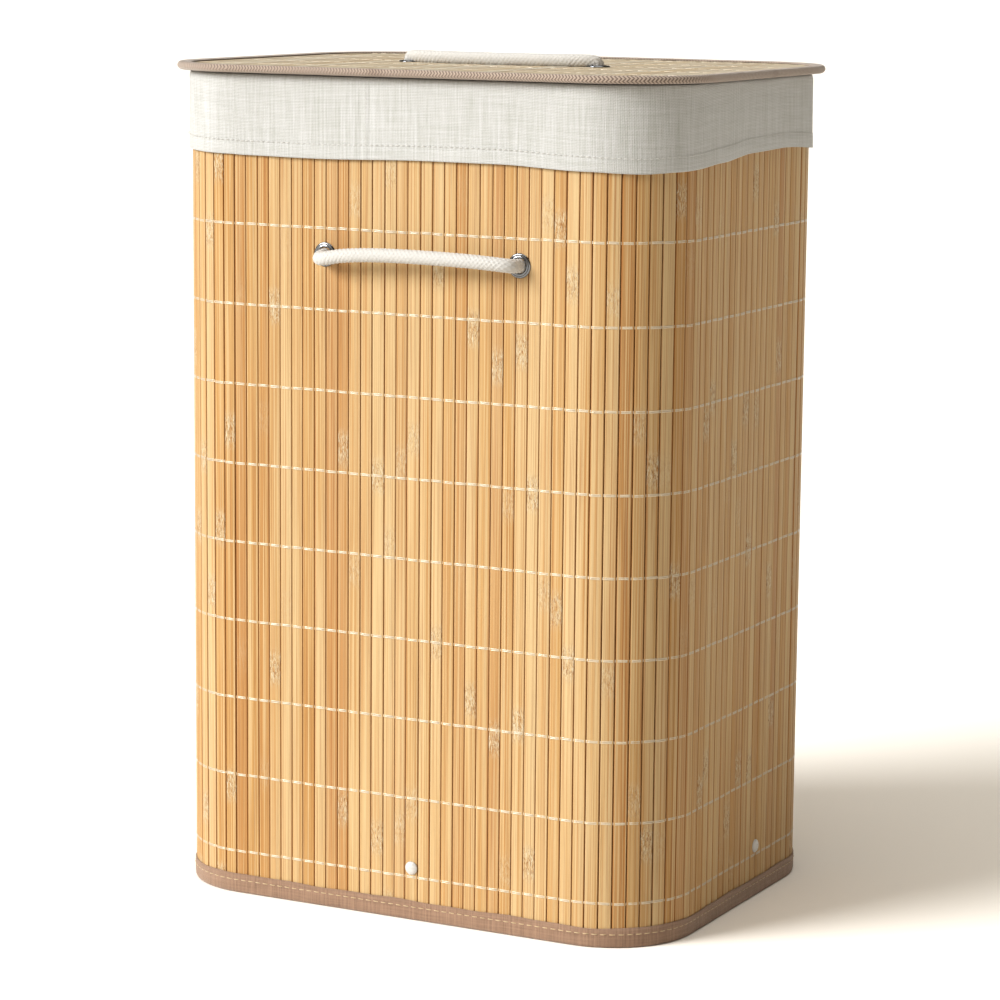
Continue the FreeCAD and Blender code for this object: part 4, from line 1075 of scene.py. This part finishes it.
TAB_WIDE = 0.0445
spine = [
    (0.0016, 0.5165), (0.0013, 0.52), (0.0013, 0.53), (0.0014, 0.535), (0.0024, 0.5385), (0.0032, 0.542),
    (0.0033, 0.56), (0.0033, 0.58), (0.0034, 0.594), (0.0038, 0.5975), (0.0048, 0.5995), (0.0075, 0.6000),
]
for name, middle in (("hinge_tab_left", -0.1), ("hinge_tab_right", 0.1)):
    shape = bmesh.new()
    flat = shape.loops.layers.uv.new("cloth")
    grid, spread = [], {}
    for offset, height, length in with_lengths(spine):
        row = []
        for k in range(9):
            row.append(shape.verts.new((middle + TAB_WIDE * (k / 8 - 0.5), BACK_FACE + offset, height)))
            spread[row[-1]] = (TAB_WIDE * k / 8, length)
        grid.append(row)
    for low, high in zip(grid, grid[1:]):
        for k in range(8):
            face = shape.faces.new((low[k], high[k], high[k + 1], low[k + 1]))
            for corner in face.loops:
                corner[flat].uv = spread[corner.vert]
    mesh = mesh_of(shape, "hinge_tab")
    mesh.materials.append(TAPE)
    tab = piece(name, thicken(mesh, 0.0009), None, "tape", "hinge_tabs")
    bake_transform(tab)


# ------------------------------------------------------------------ room
# A pale floor that runs out of sight, a large soft light from the front left, a softer one from above, and a
# surround that is bright at the horizon and dark overhead.

camera_data = bpy.data.cameras.new("camera")
camera_data.lens = 123.797
camera_data.sensor_width = 36
camera_data.clip_end = 100
camera = bpy.data.objects.new("camera", camera_data)
bpy.context.scene.collection.objects.link(camera)
yaw, pitch_down, roll = 0.47955, 0.16429, 0.00893
level = math.cos(pitch_down)
ahead = Vector((-math.sin(yaw) * level, math.cos(yaw) * level, -math.sin(pitch_down)))
aside = Vector((math.cos(yaw), math.sin(yaw), 0))
right = aside * math.cos(roll) + aside.cross(ahead) * math.sin(roll)
turn = Matrix((right, right.cross(ahead), -ahead)).transposed()
camera.matrix_world = Matrix.Translation((1.164019, -2.237243, 0.701049)) @ turn.to_4x4()
bpy.context.scene.camera = camera

floor_mesh = bpy.data.meshes.new("floor")
floor_mesh.from_pydata([(-60, -60, 0), (60, -60, 0), (60, 60, 0), (-60, 60, 0)], [], [(0, 1, 2, 3)])
floor = bpy.data.objects.new("floor", floor_mesh)
bpy.context.scene.collection.objects.link(floor)
pale, _, _ = finish("pale_floor", Roughness=0.9, Base_Color=(0.94, 0.915, 0.865, 1), Specular_IOR_Level=0.0)
floor_mesh.materials.append(pale)

for name, tint, energy, spread, towards in (
    ("soft_light", (1, 1, 1), 5.3, 30, (-0.64, -0.75, 0.5)),
    ("top_light", (1, 0.96, 0.9), 1.85, 50, (0.05, -0.08, 1)),
):
    light = bpy.data.lights.new(name, "SUN")
    light.color, light.energy, light.angle = tint, energy, math.radians(spread)
    lamp = bpy.data.objects.new(name, light)
    lamp.rotation_euler = Vector(towards).to_track_quat("Z", "Y").to_euler()
    bpy.context.scene.collection.objects.link(lamp)

world = bpy.data.worlds.new("surround")
world.use_nodes = True
sky = world.node_tree
_, _, height = split(sky, node(sky, "ShaderNodeTexCoord", out="Generated"))
tint = mix(sky, ramp(sky, height, 0.1, 0.3), (1.08, 0.97, 0.83, 1), (0.08, 0.07, 0.055, 1))
sky.links.new(tint, sky.nodes["Background"].inputs["Color"])
scene = bpy.context.scene
scene.world = world
scene.view_settings.view_transform = "Standard"
scene.view_settings.exposure, scene.view_settings.gamma = -0.07, 0.87
